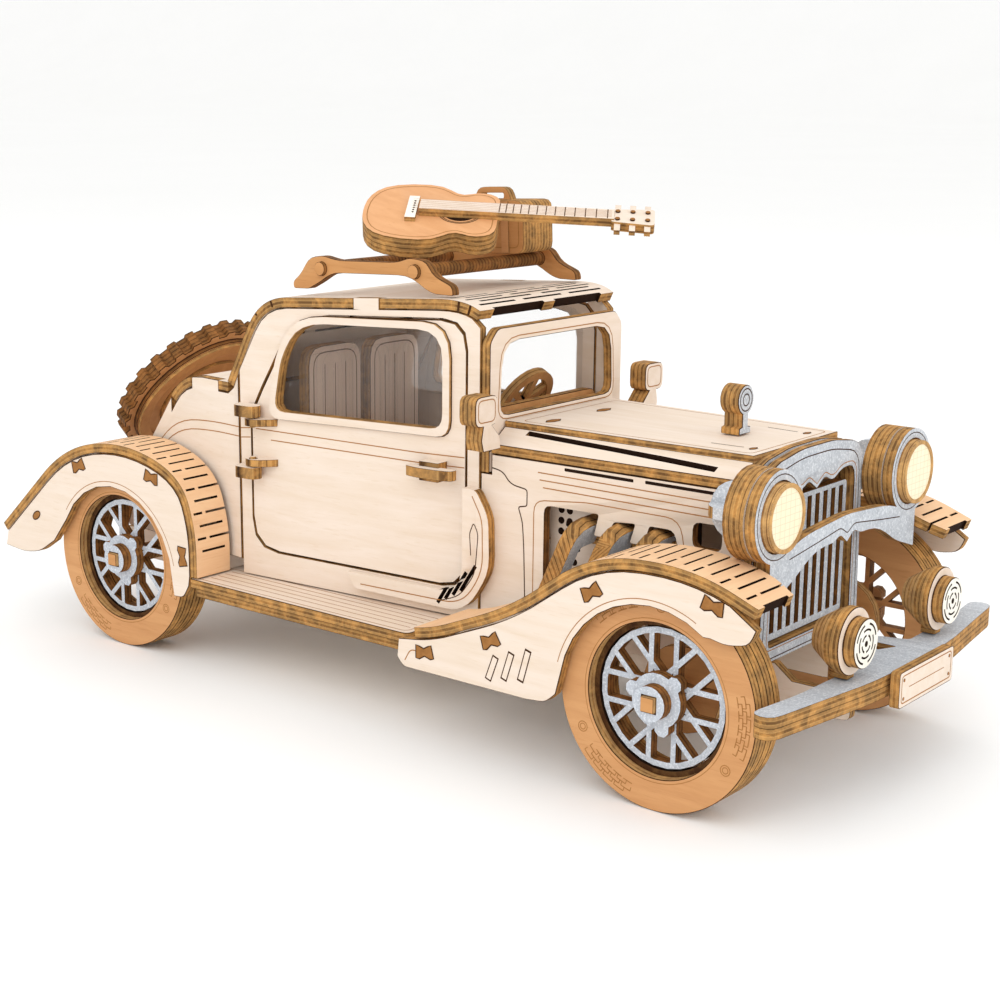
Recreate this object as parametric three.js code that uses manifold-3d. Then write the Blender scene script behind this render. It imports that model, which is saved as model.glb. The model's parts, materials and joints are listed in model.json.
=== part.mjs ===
// A laser-cut plywood model of a 1930s coupe, built from slotted sheets, in millimetres.
// +X is forward, +Y is the car's left, +Z is up, and the origin lies on the ground under
// the middle of the car. Each sheet is its own solid and rests GAP away from its neighbours.
import * as THREE from 'three';
import Module from 'manifold-3d';
import { mergeVertices } from 'three/addons/utils/BufferGeometryUtils.js';

const wasm = await Module();
wasm.setup();

// ---- driving dimensions ----
const SHEET = 2; // thickness of the plywood
const GAP = 0.3; // clearance between pieces that touch
const WHEEL_R = 20;
const WHEEL_LAYERS = 4; // sheets stacked in a tyre
const RIM_BORE = 13; // radius of the opening in a tyre
const RIM_STEP = 1; // the outer sheet's opening is wider by this much
const SPOKE_RECESS = 2.3; // from the tyre's face to the spokes
const HUB_R = 5;
const BOSS_R = 3.2;
const BOSS_HEIGHT = 2; // the boss stands proud of the tyre's face by this much
const TENON = 2.6; // side of the square axle end
const AXLE_R = 2;
const AXLE_Z = 20; // height of both axles in the body's own drawing
const FRONT_AXLE_X = 72;
const REAR_AXLE_X = -72;
const FRONT_FACE_Y = 38.5; // outer face of the front tyres
const TAIL_CLEARANCE = 0.94; // between the rear tyres and the tail's sides
const ARCH_R = 18.5; // radius of the cut-out in a fender plate
const BOARD_TOP = 20.2; // top of the running boards
const BOARD_EDGE_Y = 37;
const RAIL_Y = 13; // outer face of the chassis rails
const FLOOR_Z = 25.5;
const SIDE_Y = 23.54; // cabin side's outer face where x is 0
const SIDE_TAPER = 0.077; // how fast the cabin narrows towards the front
const QUARTER_TAPER = -0.11; // how fast the tail narrows towards the rear
const BEND_X = -41.4; // where the cabin side ends and the tail begins
const HOOD_Y = 22.5; // hood side's outer face where x is 0
const HOOD_TAPER = 0.045;
const PILLAR_X = 19.9; // rear face of the windshield frame
const SILL_Z = BOARD_TOP + GAP;
const DOOR_FRONT = 16.4;
const DOOR_REAR = -38;
const DOOR_BOTTOM = 26.6;
const DOOR_GAP = 0.5;
const PIN_R = 0.6;
const HOOD_TOP_Z = 60;
const HOOD_FRONT_X = 76;
const RADIATOR_X = HOOD_FRONT_X + GAP;
const RADIATOR_DEPTH = 4.1;
const LAMP_Y = 25;
const LAMP_Z = 52.4;
const LENS_R = 6.1;
const LAMP_RING_R = 8.2;
const BRACKET_X = 85;
const FOG_Y = 17.2;
const FOG_Z = 31;
const FENDER_INNER_Y = 28; // inner edge of the front fender beside the hood
const BUMPER_X = FRONT_AXLE_X + WHEEL_R + 9.8; // front of the bumper, clear of the tyres
const BUMPER_TOP = 24;
const BUMPER_HALF = 43.5;
const RACK_Y = 20; // middle of the roof rack's rails
const RACK_TILT = 0.044; // the roof climbs towards the front
const SPARE_TILT = 49.5; // degrees between the spare wheel's axis and the vertical

// ---- colours of the wood and of its printed faces ----
const CREAM = { color: 0xf0dfc0, roughness: 0.62, metalness: 0 };
const TAN = { color: 0xc48f5c, roughness: 0.6, metalness: 0 };
const PEACH = { color: 0xeec29a, roughness: 0.62, metalness: 0 };
const BROWN = { color: 0xb57d52, roughness: 0.62, metalness: 0 };
const SILVER = { color: 0xbcc5cc, roughness: 0.55, metalness: 0 };
const BURNT = { color: 0x7a4c20, roughness: 0.7, metalness: 0 };
const CLEAR = { color: 0xe8eef0, roughness: 0.08, metalness: 0 };

// ---- outlines ----
// Points of a path through corners [u, v, cut]; a corner with a cut is rounded from cut
// millimetres before it to cut millimetres after it.
function rounded(corners, closed = true, steps = 3) {
  const count = corners.length;
  const at = (i) => new THREE.Vector2(...corners[(i + count) % count]);
  const points = [];
  for (let i = 0; i < count; i++) {
    const corner = at(i);
    const cut = corners[i][2] ?? 0;
    const isEnd = !closed && (i === 0 || i === count - 1);
    if (cut === 0 || isEnd) {
      points.push(corner);
      continue;
    }
    const towards = (other) => {
      const arm = other.clone().sub(corner);
      return corner.clone().add(arm.setLength(Math.min(cut, arm.length() / 2.01)));
    };
    const bend = new THREE.QuadraticBezierCurve(towards(at(i - 1)), corner, towards(at(i + 1)));
    points.push(...bend.getPoints(steps));
  }
  return points;
}

// A closed outline whose points run anticlockwise, so that its holes are cut as holes.
const shapeOf = (points) =>
  new THREE.Shape(THREE.ShapeUtils.isClockWise(points) ? [...points].reverse() : points);

const outline = (corners, steps) => shapeOf(rounded(corners, true, steps));

function withHoles(shape, ...holes) {
  shape.holes.push(...holes.map((hole) => new THREE.Path(hole.getPoints(8))));
  return shape;
}

function disc(u, v, radius, sides = 20) {
  const points = [];
  for (let i = 0; i < sides; i++) {
    const turn = (2 * Math.PI * (i + 0.5)) / sides;
    points.push(new THREE.Vector2(u + radius * Math.cos(turn), v + radius * Math.sin(turn)));
  }
  return shapeOf(points);
}

const rect = (u0, v0, u1, v1, cut = 0) =>
  outline([[u0, v0, cut], [u1, v0, cut], [u1, v1, cut], [u0, v1, cut]]);

// Points beside an open path, moved square to it by distance (positive is to its left).
function beside(points, distance) {
  return points.map((point, i) => {
    const before = points[Math.max(i - 1, 0)];
    const after = points[Math.min(i + 1, points.length - 1)];
    const along = after.clone().sub(before).normalize();
    return new THREE.Vector2(point.x - along.y * distance, point.y + along.x * distance);
  });
}

// The section of a bent sheet that follows a path, between two distances to its left.
const ribbon = (points, from, to) =>
  shapeOf([...beside(points, from), ...beside(points, to).reverse()]);

// Points of an arc about a centre, in degrees.
function arc(u, v, radius, from, to, steps = 10) {
  const points = [];
  for (let i = 0; i <= steps; i++) {
    const turn = THREE.MathUtils.degToRad(from + ((to - from) * i) / steps);
    points.push([u + radius * Math.cos(turn), v + radius * Math.sin(turn)]);
  }
  return points;
}

// ---- solids ----
const extrude = (shape, depth) =>
  new THREE.ExtrudeGeometry(shape, { depth, bevelEnabled: false, steps: 1, curveSegments: 8 });
// A flat sheet, its outline in X and Y, from z = 0 up.
const flat = (shape, depth = SHEET) => extrude(shape, depth);
// A sheet standing along the car, its outline in X and Z, from y = 0 inwards (+Y).
const lengthwise = (shape, depth = SHEET) =>
  extrude(shape, depth).rotateX(Math.PI / 2).translate(0, depth, 0);
// A sheet standing across the car, its outline in Y and Z, from x = 0 forwards.
const crosswise = (shape, depth = SHEET) =>
  extrude(shape, depth).rotateX(Math.PI / 2).rotateZ(Math.PI / 2);

const block = (x0, y0, z0, x1, y1, z1) =>
  new THREE.BoxGeometry(x1 - x0, y1 - y0, z1 - z0)
    .translate((x0 + x1) / 2, (y0 + y1) / 2, (z0 + z1) / 2);

function bare(geometry) {
  const copy = geometry.clone();
  copy.deleteAttribute('normal');
  copy.deleteAttribute('uv');
  return mergeVertices(copy, 1e-4);
}

function toSolid(geometry) {
  const mesh = bare(geometry);
  return new wasm.Manifold(new wasm.Mesh({
    numProp: 3,
    vertProperties: new Float32Array(mesh.attributes.position.array),
    triVerts: new Uint32Array(mesh.index.array),
  }));
}

function toGeometry(solid) {
  const mesh = solid.getMesh();
  const geometry = new THREE.BufferGeometry();
  geometry.setAttribute('position', new THREE.BufferAttribute(mesh.vertProperties, 3));
  geometry.setIndex(new THREE.BufferAttribute(mesh.triVerts, 1));
  return geometry;
}

const join = (...parts) => toGeometry(parts.map(toSolid).reduce((a, b) => a.add(b)));
const cut = (base, ...tools) =>
  toGeometry(tools.map(toSolid).reduce((rest, tool) => rest.subtract(tool), toSolid(base)));
const common = (a, b) => toGeometry(toSolid(a).intersect(toSolid(b)));

// The same piece for the other side of the car.
function mirrored(geometry) {
  const copy = bare(geometry).scale(1, -1, 1);
  const corners = copy.index.array;
  for (let i = 0; i < corners.length; i += 3) {
    [corners[i + 1], corners[i + 2]] = [corners[i + 2], corners[i + 1]];
  }
  return copy;
}

// ---- the scene graph ----
const model = new THREE.Group();
const car = new THREE.Group();
model.add(car);

function piece(name, geometry, finish, [x, y, z] = [0, 0, 0], parent = car) {
  const mesh = new THREE.Mesh(geometry, new THREE.MeshStandardMaterial(finish));
  mesh.name = name;
  mesh.position.set(x, y, z);
  parent.add(mesh);
  return mesh;
}

// Two groups whose local y = 0 plane is the outer face of a side that tapers.
function sideFrames(halfWidth, taper) {
  const frames = {};
  for (const [side, sign] of [['right', -1], ['left', 1]]) {
    frames[side] = new THREE.Group();
    frames[side].position.y = sign * halfWidth;
    frames[side].rotation.z = -sign * Math.atan(taper);
    car.add(frames[side]);
  }
  return frames;
}

const straight = { right: car, left: car };
const cabin = sideFrames(SIDE_Y, SIDE_TAPER);
const quarter = sideFrames(SIDE_Y - (SIDE_TAPER - QUARTER_TAPER) * BEND_X, QUARTER_TAPER);
const hoodSide = sideFrames(HOOD_Y, HOOD_TAPER);

// A piece for the right side and its mirror image for the left.
function pair(name, geometry, finish, [x, y, z] = [0, 0, 0], frames = straight) {
  piece(`${name}_right`, geometry, finish, [x, y, z], frames.right);
  piece(`${name}_left`, mirrored(geometry), finish, [x, -y, z], frames.left);
}

const cabinHalf = (x) => SIDE_Y - SIDE_TAPER * x;
const quarterHalf = (x) => cabinHalf(BEND_X) + QUARTER_TAPER * (BEND_X - x);
// Outer face of the rear tyres, which run just outside the tail.
const REAR_FACE_Y = quarterHalf(REAR_AXLE_X + WHEEL_R) + WHEEL_LAYERS * SHEET + TAIL_CLEARANCE;
const hoodHalf = (x) => HOOD_Y - HOOD_TAPER * x;

// ---- wheels and axles ----
const tyreWidth = WHEEL_LAYERS * SHEET;

function tyre() {
  const profile = [
    [RIM_BORE, SHEET], [RIM_BORE + RIM_STEP, SHEET], [RIM_BORE + RIM_STEP, 0],
    [WHEEL_R, 0], [WHEEL_R, tyreWidth], [RIM_BORE, tyreWidth], [RIM_BORE, SHEET],
  ];
  return new THREE.LatheGeometry(profile.map(([r, y]) => new THREE.Vector2(r, y)), 40);
}

// Eight crossing pairs of spokes between a rim ring and a lobed hub with a square hole.
function wheelCentre() {
  const rim = RIM_BORE - GAP;
  const lattice = [lengthwise(withHoles(disc(0, 0, rim, 28), disc(0, 0, rim - 1.1, 28)))];
  const spokeAt = (start, end) => {
    const [u0, v0] = arc(0, 0, HUB_R - 1.4, start, start, 1)[0];
    const [u1, v1] = arc(0, 0, rim - 0.5, end, end, 1)[0];
    const path = [new THREE.Vector2(u0, v0), new THREE.Vector2(u1, v1)];
    return lengthwise(ribbon(path, 0.5, -0.5));
  };
  for (let i = 0; i < 8; i++) {
    lattice.push(spokeAt(45 * i, 45 * i + 33), spokeAt(45 * i, 45 * i - 33));
  }
  lattice.push(lengthwise(disc(0, 0, HUB_R - 1)));
  const lobes = [lengthwise(disc(0, 0, HUB_R))];
  for (const turn of [45, 165, 285]) {
    const [u, v] = arc(0, 0, HUB_R, turn, turn, 1)[0];
    lobes.push(lengthwise(disc(u, v, 1.5, 8)));
  }
  const hub = join(...lobes).translate(0, -SHEET, 0);
  const boss = lengthwise(disc(0, 0, BOSS_R), SPOKE_RECESS + BOSS_HEIGHT - SHEET + 0.1);
  boss.translate(0, -SPOKE_RECESS - BOSS_HEIGHT, 0);
  const half = TENON / 2 + GAP;
  return cut(join(...lattice, hub, boss), block(-half, -20, -half, half, 20, half));
}

function axle(face, withDisc) {
  const shoulder = face - SPOKE_RECESS - SHEET - GAP;
  const tip = face + BOSS_HEIGHT + 0.6;
  const parts = [lengthwise(disc(0, 0, AXLE_R, 16), 2 * shoulder).translate(0, -shoulder, 0)];
  parts.push(block(-TENON / 2, -tip, -TENON / 2, TENON / 2, tip, TENON / 2));
  if (withDisc) {
    const inner = face - tyreWidth - GAP - SHEET;
    const plate = lengthwise(disc(0, 0, 0.4 * WHEEL_R));
    parts.push(plate.clone().translate(0, inner, 0), plate.translate(0, -inner - SHEET, 0));
  }
  return join(...parts);
}

for (const [end, x, face] of [['front', FRONT_AXLE_X, FRONT_FACE_Y], ['rear', REAR_AXLE_X, REAR_FACE_Y]]) {
  piece(`${end}_axle`, axle(face, end === 'front'), TAN, [x, 0, AXLE_Z]);
  pair(`${end}_tyre`, tyre(), BROWN, [x, -face, AXLE_Z]);
  pair(`${end}_wheel_centre`, wheelCentre(), SILVER, [x, -face + SPOKE_RECESS, AXLE_Z]);
}

// ---- chassis ----
const railTop = FLOOR_Z - GAP;
const notchZ = AXLE_Z + AXLE_R + GAP + 0.1; // floor of the notch that holds the radiator
const radiatorFront = RADIATOR_X + RADIATOR_DEPTH + GAP;
const underBumper = BUMPER_TOP - 2 * SHEET - GAP;
const noseX = BUMPER_X - 5.8;
const rail = outline([
  [-97, 15, 2], [-88, 13], [78, 13], [noseX, 15, 1], [noseX, underBumper],
  [radiatorFront + 3.6, underBumper], [radiatorFront, notchZ], [RADIATOR_X, notchZ],
  [RADIATOR_X - 0.7, railTop], [-78, railTop], [-83, 20.5], [-97, 19.5, 2],
]);
const axleHole = (x) => disc(x, AXLE_Z, AXLE_R + GAP, 16);
pair('chassis_rail', lengthwise(withHoles(rail, axleHole(FRONT_AXLE_X), axleHole(REAR_AXLE_X))),
  CREAM, [0, -RAIL_Y, 0]);

const floorHalf = 17;
const noseHalf = 12.4;
piece('chassis_floor', flat(outline([
  [-80, -floorHalf], [28, -floorHalf], [30, -noseHalf], [RADIATOR_X - 2, -noseHalf],
  [RADIATOR_X - 2, noseHalf], [30, noseHalf], [28, floorHalf], [-80, floorHalf],
])), CREAM, [0, 0, FLOOR_Z]);

const boardRear = -46.6;
const boardFront = 14.3;
const boardInner = RAIL_Y + GAP;
const boardTop = flat(outline([
  [boardRear, -BOARD_EDGE_Y], [boardFront, -BOARD_EDGE_Y, 1.5], [boardFront, -boardInner],
  [boardRear, -boardInner],
]));
const boardBase = flat(rect(boardRear + 1, -BOARD_EDGE_Y + 0.7, boardFront - 1.2, -boardInner));
pair('running_board', join(boardTop.translate(0, 0, SHEET), boardBase.scale(1, 1, 1.02)), CREAM,
  [0, 0, BOARD_TOP - 2 * SHEET]);

// ---- cabin ----
// The roof sheet's outer face: up the back window, over the top and down to the windshield.
const roofLine = rounded(
  [[-45.3, 61.4], [-35.2, 79.9, 7], [15.4, 83.2, 6], [21.7, 80.2]], false, 4);
// The tail sheet's outer face: back over the trunk and down behind it.
const tailLine = rounded(
  [[-45.2, 61.2], [-61.5, 61.2, 7], [-79.5, 38.5, 9], [-86, 24.4]], false, 4);

const across = 80;
const centred = (geometry) => geometry.translate(0, -across / 2, 0);
const roofSolid = centred(lengthwise(ribbon(roofLine, 0, -SHEET), across));
const tailSolid = centred(lengthwise(ribbon(tailLine, 0, SHEET), across));
const widthPrism = flat(shapeOf([
  [-90, -1], [BEND_X, -1], [30, -1], [30, 1], [BEND_X, 1], [-90, 1],
].map(([x, sign]) => {
  const half = x < BEND_X ? quarterHalf(x) : cabinHalf(x);
  return new THREE.Vector2(x, sign * half);
})), 100);

// Where the side plates reach up flush through notches in the roof and the tail sheet.
const roofTabs = [block(-10.8, -1, 79.3, -4.6, SHEET, 90)];
const tailTabs = [block(-58.3, -1, 50, -48.8, SHEET, 70), block(-77, -1, 44.5, -66, SHEET, 57.5)];

// Widens a notch for clearance and carries it from a side's frame to the car's own.
function notches(tabs, frames) {
  const tools = [];
  for (const side of ['right', 'left']) {
    frames[side].updateMatrixWorld();
    for (const tab of tabs) {
      tab.computeBoundingBox();
      const { min, max } = tab.boundingBox;
      const tool = block(min.x - GAP, -5, min.z - 5, max.x + GAP, SHEET + GAP, max.z + GAP);
      const own = side === 'right' ? tool : mirrored(tool);
      tools.push(own.applyMatrix4(frames[side].matrixWorld));
    }
  }
  return tools;
}

piece('roof', cut(common(roofSolid, widthPrism), ...notches(roofTabs, cabin)), CREAM);
piece('tail_deck', cut(common(tailSolid, widthPrism), ...notches(tailTabs, quarter)), CREAM);

// A path of the car's own frame as a side plate sees it, which lies askew.
const seenAlong = (points, taper) =>
  points.map((p) => new THREE.Vector2(p.x * Math.hypot(1, taper), p.y));

// Height of a path at a place along it, between its points.
function heightAt(points, x) {
  const i = points.findIndex((p, n) => n > 0 && (p.x - x) * (points[n - 1].x - x) <= 0);
  const [a, b] = [points[i - 1], points[i]];
  return a.y + ((b.y - a.y) * (x - a.x)) / (b.x - a.x);
}
const innerRoof = beside(roofLine, -SHEET - GAP);
const underRoof = seenAlong(innerRoof, SIDE_TAPER);
const doorOutline = [
  [DOOR_REAR, DOOR_BOTTOM, 7], [DOOR_FRONT, DOOR_BOTTOM, 6], [DOOR_FRONT, 79.1, 6],
  [-25.5, 76.7, 9], [-35.4, 60, 3], [DOOR_REAR, 55],
];
const grow = ([u, v, c], centreU = -10, centreV = 52) =>
  [u + Math.sign(u - centreU) * DOOR_GAP, v + Math.sign(v - centreV) * DOOR_GAP, c];
const sideFront = PILLAR_X - GAP;
const bendS = BEND_X * Math.hypot(1, SIDE_TAPER) + GAP;
const sideShape = shapeOf([
  new THREE.Vector2(bendS, SILL_Z), new THREE.Vector2(sideFront, SILL_Z),
  new THREE.Vector2(sideFront, heightAt(underRoof, sideFront - 1) - 1.2),
  ...underRoof.filter((p) => p.x > bendS && p.x < sideFront - 1).reverse(),
  new THREE.Vector2(bendS, heightAt(underRoof, bendS)),
]);
withHoles(sideShape, outline(doorOutline.map((corner) => grow(corner))));
const overRoof = shapeOf([...roofLine, new THREE.Vector2(PILLAR_X, 30), new THREE.Vector2(-45, 30)]);
const roofTab = common(lengthwise(overRoof), roofTabs[0]);

// Hinge knuckles: half-round shelves on the side plate, each with a pin down or up.
const pinS = DOOR_REAR + 1.9;
const pinOut = 2.1;
const KNUCKLE_R = 1.7;
function knuckle(z, pinZ) {
  const shelf = flat(outline([
    [pinS - 4.6, -GAP], [pinS - 4.2, -pinOut - KNUCKLE_R, 1.5],
    ...arc(pinS, -pinOut, KNUCKLE_R, -90, 90, 8),
  ]), 2.4).translate(0, 0, z);
  const root = block(pinS - 4.6, -GAP - 0.1, z, DOOR_REAR - DOOR_GAP - 0.2, 0.1, z + 2.4);
  const pin = flat(disc(pinS, -pinOut, PIN_R, 10), 2.6).translate(0, 0, pinZ);
  return join(shelf, root, pin);
}
const UPPER_KNUCKLE_Z = 55.2;
const LOWER_KNUCKLE_Z = 42.2;

// A raised plate around the door's lower front corner, with four slanting louvres.
function cornerPlate() {
  const plate = lengthwise(outline([
    [17.1, 47.1], [20.2, 47.1, 1], [23.2, 42.2, 2], [23.5, 31.3, 3], [19.2, 24.2, 3],
    [15.4, 22.3, 2], [-9.6, 22.7, 1], [-11.4, 25.9], [17.1, 25.9, 5.4],
  ]), SHEET + 0.1).translate(0, -SHEET, 0);
  const louvres = [0, 1, 2, 3].map((i) =>
    block(-0.4, -SHEET - 1, -2.4 - 0.3 * i, 0.4, -0.05, 2.4 + 0.3 * i)
      .rotateY(THREE.MathUtils.degToRad(32)).translate(12.6 + 2 * i, 0, 25.2 + 1.35 * i));
  return cut(plate, ...louvres);
}
pair('cabin_side', join(lengthwise(sideShape), roofTab, cornerPlate(),
  knuckle(UPPER_KNUCKLE_Z, UPPER_KNUCKLE_Z - 2.2), knuckle(LOWER_KNUCKLE_Z, LOWER_KNUCKLE_Z + 2)),
  CREAM, [0, 0, 0], cabin);

// ---- doors ----
const windowOutline = [
  [-31.6, 56.6, 3], [11.4, 57.6, 3], [11.4, 77, 6], [-24.5, 75.6, 7], [-29.4, 68, 3],
];
// A lug that reaches out past the pin and turns around it.
function doorLug(z) {
  const lug = flat(outline([
    [pinS - 1.5, -pinOut - 1.5, 1.4], [pinS + 1.6, -pinOut - 1.5, 1.4], [pinS + 5, -0.5, 1],
    [pinS + 5, 0.5], [pinS + 0.2, 0.5], [pinS - 1.5, -pinOut + 1.2, 1],
  ]), 1.5);
  return cut(lug, flat(disc(pinS, -pinOut, PIN_R + GAP, 10), 6).translate(0, 0, -2)).translate(0, 0, z);
}
const handlePost = block(7.5, -3, 47.6, 12, 0.2, 51.4);
const handleGrip = flat(outline([
  [4.8, -2.2, 0.5], [4.8, -4.2, 1], [8, -4.9, 1], [12.5, -4.9, 1], [16, -4.2, 1], [16, -2.2, 0.5],
]), SHEET).translate(0, 0, 48.5);
const doorSheet = lengthwise(withHoles(outline(doorOutline), outline(windowOutline)));
const sillZ = windowOutline[0][1];
pair('door', join(doorSheet, doorLug(UPPER_KNUCKLE_Z - GAP - 1.5),
  doorLug(LOWER_KNUCKLE_Z + 2.4 + GAP), handlePost, handleGrip), CREAM, [0, 0, 0], cabin);
const glassOutline = [
  [-33, sillZ - 2.2, 2], [13.4, sillZ - 1.4, 2], [13.4, 78, 5], [-25, 76, 8], [-30.6, 67.6, 3],
];
pair('door_window', lengthwise(outline(glassOutline), 0.8), CLEAR, [0, SHEET + GAP, 0], cabin);

// ---- tail ----
const underTail = seenAlong(beside(tailLine, SHEET + GAP), QUARTER_TAPER);
const behindRoof = seenAlong(innerRoof, QUARTER_TAPER);
const quarterFront = BEND_X * Math.hypot(1, QUARTER_TAPER) - GAP;
const quarterFoot = underTail.at(-1).y;
const quarterShape = shapeOf([
  new THREE.Vector2(quarterFront, quarterFoot),
  new THREE.Vector2(quarterFront, heightAt(behindRoof, quarterFront)),
  ...behindRoof.slice(0, 1),
  ...underTail,
]);
const overTail = shapeOf([...tailLine, new THREE.Vector2(-60, 24), new THREE.Vector2(-46, 24)]);
const tailTabSolids = tailTabs.map((tab) => common(lengthwise(overTail), tab));
pair('tail_side', join(lengthwise(quarterShape), ...tailTabSolids), CREAM, [0, 0, 0], quarter);

// ---- windshield, dashboard, seats and steering ----
const frameHalf = cabinHalf(PILLAR_X + SHEET);
const frameTop = 77.9;
const frameFoot = [frameHalf, 50.4];
const halfFrame = [
  [frameHalf - 2.4, frameTop, 1], [frameHalf, frameTop - 2.5, 1], [frameHalf, 58], [frameHalf - 2.3, 57.6],
  [frameHalf - 2.3, 54.6], [frameFoot[0], 54.6], frameFoot, [frameHalf - 3.4, 50.4],
  [frameHalf - 3.4, 53], [12, 54.5],
];
const frameShape = outline([...halfFrame, ...halfFrame.map(([y, z, c]) => [-y, z, c]).reverse()]);
withHoles(frameShape, outline([[-18.6, 61, 2.5], [18.6, 61, 2.5], [17.8, 75.2, 5], [-17.8, 75.2, 5]]));
piece('windshield_frame', crosswise(frameShape), CREAM, [PILLAR_X, 0, 0]);

const dashHalf = cabinHalf(12) - SHEET - 1.6;
piece('dashboard', crosswise(rect(-dashHalf, 47, dashHalf, 61.5, 2)), BROWN, [15.5, 0, 0]);

// A bench with two round-shouldered backs.
const seatBack = (y) => crosswise(rect(y - 8, 38, y + 8, 69, 4), 3).translate(-33, 0, 0);
const bench = join(block(-33, -18, FLOOR_Z + SHEET + GAP, -12, 18, 42), seatBack(-9.5), seatBack(9.5));
piece('seats', bench, BROWN);

// The steering wheel, its rim, spokes and column in the column's own frame.
const STEER_R = 8;
const rimRing = flat(withHoles(disc(0, 0, STEER_R, 28), disc(0, 0, STEER_R - 1.8, 28)), 1.8);
const steerSpokes = [0, 60, 120].map((turn) =>
  block(-STEER_R + 1, -0.8, 0.2, STEER_R - 1, 0.8, 1.6).rotateZ(THREE.MathUtils.degToRad(turn)));
const column = flat(disc(0, 0, 1.2, 10), 8).translate(0, 0, -7);
const steering = piece('steering_wheel', join(rimRing, ...steerSpokes, column), TAN, [6.5, 9.5, 58]);
steering.rotation.y = THREE.MathUtils.degToRad(-60);

// ---- hood ----
// A bent shell: flat top, a slope down each shoulder and a short lip, tapered in plan.
const hoodRear = PILLAR_X + SHEET + GAP;
const topHalf = 17.4;
const shoulderZ = 56;
const lipZ = 54.2;
const rearLip = hoodHalf(hoodRear);
const hoodHalfSection = [
  [topHalf, HOOD_TOP_Z], [topHalf, HOOD_TOP_Z - 1.2], [rearLip, shoulderZ], [rearLip, lipZ],
  [rearLip - 1.8, lipZ], [rearLip - 1.8, shoulderZ - 1], [topHalf - 1.2, HOOD_TOP_Z - SHEET - 1],
];
const hoodSection = outline([
  ...hoodHalfSection, ...hoodHalfSection.map(([y, z]) => [-y, z]).reverse(),
]);
const hoodShell = crosswise(hoodSection, HOOD_FRONT_X - hoodRear);
const frontShare = hoodHalf(HOOD_FRONT_X) / rearLip;
const places = hoodShell.attributes.position;
for (let i = 0; i < places.count; i++) {
  if (places.getX(i) > 1) places.setY(i, places.getY(i) * frontShare);
}
const slotY = 19 * (1 + frontShare) / 2;
const shoulderSlot = block(hoodRear + 5.8, slotY - 0.5, 53.6, HOOD_FRONT_X - 6, slotY + 0.5, 61.6);
hoodShell.translate(hoodRear, 0, 0);
piece('hood', cut(hoodShell, shoulderSlot, mirrored(shoulderSlot)), CREAM);

const sideTop = lipZ - GAP;
const cowlS = PILLAR_X;
const hoodEndS = HOOD_FRONT_X;
const bayRear = hoodRear + 12.3;
const bayFront = hoodEndS - 12.2;
const bayLow = 28;
const bayHigh = 45.8;
const bayAt = (share) => bayRear + share * (bayFront - bayRear);
const bayOutline = [
  [bayRear, bayLow, 2], [bayRear, bayHigh, 1.6], [bayAt(0.42), bayHigh, 0.6],
  [bayAt(0.385), bayHigh - 4.2, 0.5], [bayAt(0.48), bayHigh - 4.2, 1],
  [bayAt(0.53), bayHigh - 1, 0.5], [bayAt(0.69), bayHigh - 0.6, 0.6],
  [bayAt(0.65), bayHigh - 4.4, 0.5], [bayAt(0.75), bayHigh - 4.4, 1],
  [bayAt(0.79), bayHigh - 0.6, 0.5],
  [bayFront - 1, bayHigh - 0.6, 1.4], [bayFront, bayHigh - 4, 1], [bayFront, bayLow, 2],
];
const hoodSideShape = outline([
  [cowlS, SILL_Z], [hoodEndS - 14, SILL_Z], [hoodEndS - 11, 23.4], [hoodEndS - 1, 23.4],
  [hoodEndS - 0.4, sideTop], [hoodRear + 0.2, sideTop],
  [hoodRear + 0.2, 50], [cowlS, 50],
]);
withHoles(hoodSideShape, outline(bayOutline, 3), rect(hoodEndS - 9.4, 42.6, hoodEndS - 3.4, 47.4, 1.5));
pair('hood_side', lengthwise(hoodSideShape), CREAM, [0, 0, 0], hoodSide);

// The perforated panel behind the exhausts, with three groups of six round holes.
const panelInset = 4.7;
const panelShape = rect(bayRear - 1.5, bayLow - 0.4, bayFront + 1, bayHigh + 1, 1);
const drills = [];
for (const [groupS, groupZ] of [[bayAt(0.09), 41.6], [bayAt(0.38), 35.4], [bayAt(0.69), 34.6]]) {
  for (let i = 0; i < 6; i++) {
    const hole = disc(groupS + 2 * (i % 2), groupZ - 2.3 * Math.floor(i / 2), 0.75, 6);
    drills.push(lengthwise(hole, 4).translate(0, -1, 0));
  }
}
pair('engine_panel', cut(lengthwise(panelShape), ...drills), CREAM, [0, panelInset, 0], hoodSide);

// Three hooped pipes on a header bar; each leans back on its way down.
const PIPE_LEAN = 24;
const pipeThickness = 3;
function pipe(s) {
  const hoop = outline([
    [panelInset - GAP - 0.1, -4.4], [panelInset - GAP - 0.1, 0], [-5.4, 0, 4.5],
    [-5.4, -19, 0.6], [-2, -19, 0.6],
    [-2, -4.6, 1.2],
  ]);
  const solid = crosswise(hoop, pipeThickness).translate(-pipeThickness / 2, 0, 0);
  return solid.rotateY(THREE.MathUtils.degToRad(PIPE_LEAN)).translate(s, 0, bayHigh - 1.6);
}
const firstPipe = bayRear + 10.1;
const lastPipe = bayFront - 3.6;
const pipePlaces = [firstPipe, (firstPipe + lastPipe) / 2, lastPipe];
const header = block(firstPipe - 2.6, panelInset - 1.9, bayHigh - 6.6,
  lastPipe + 1.8, panelInset - GAP, bayHigh - 3.6);
pair('exhaust', join(...pipePlaces.map(pipe), header), SILVER, [0, 0, 0], hoodSide);

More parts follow.
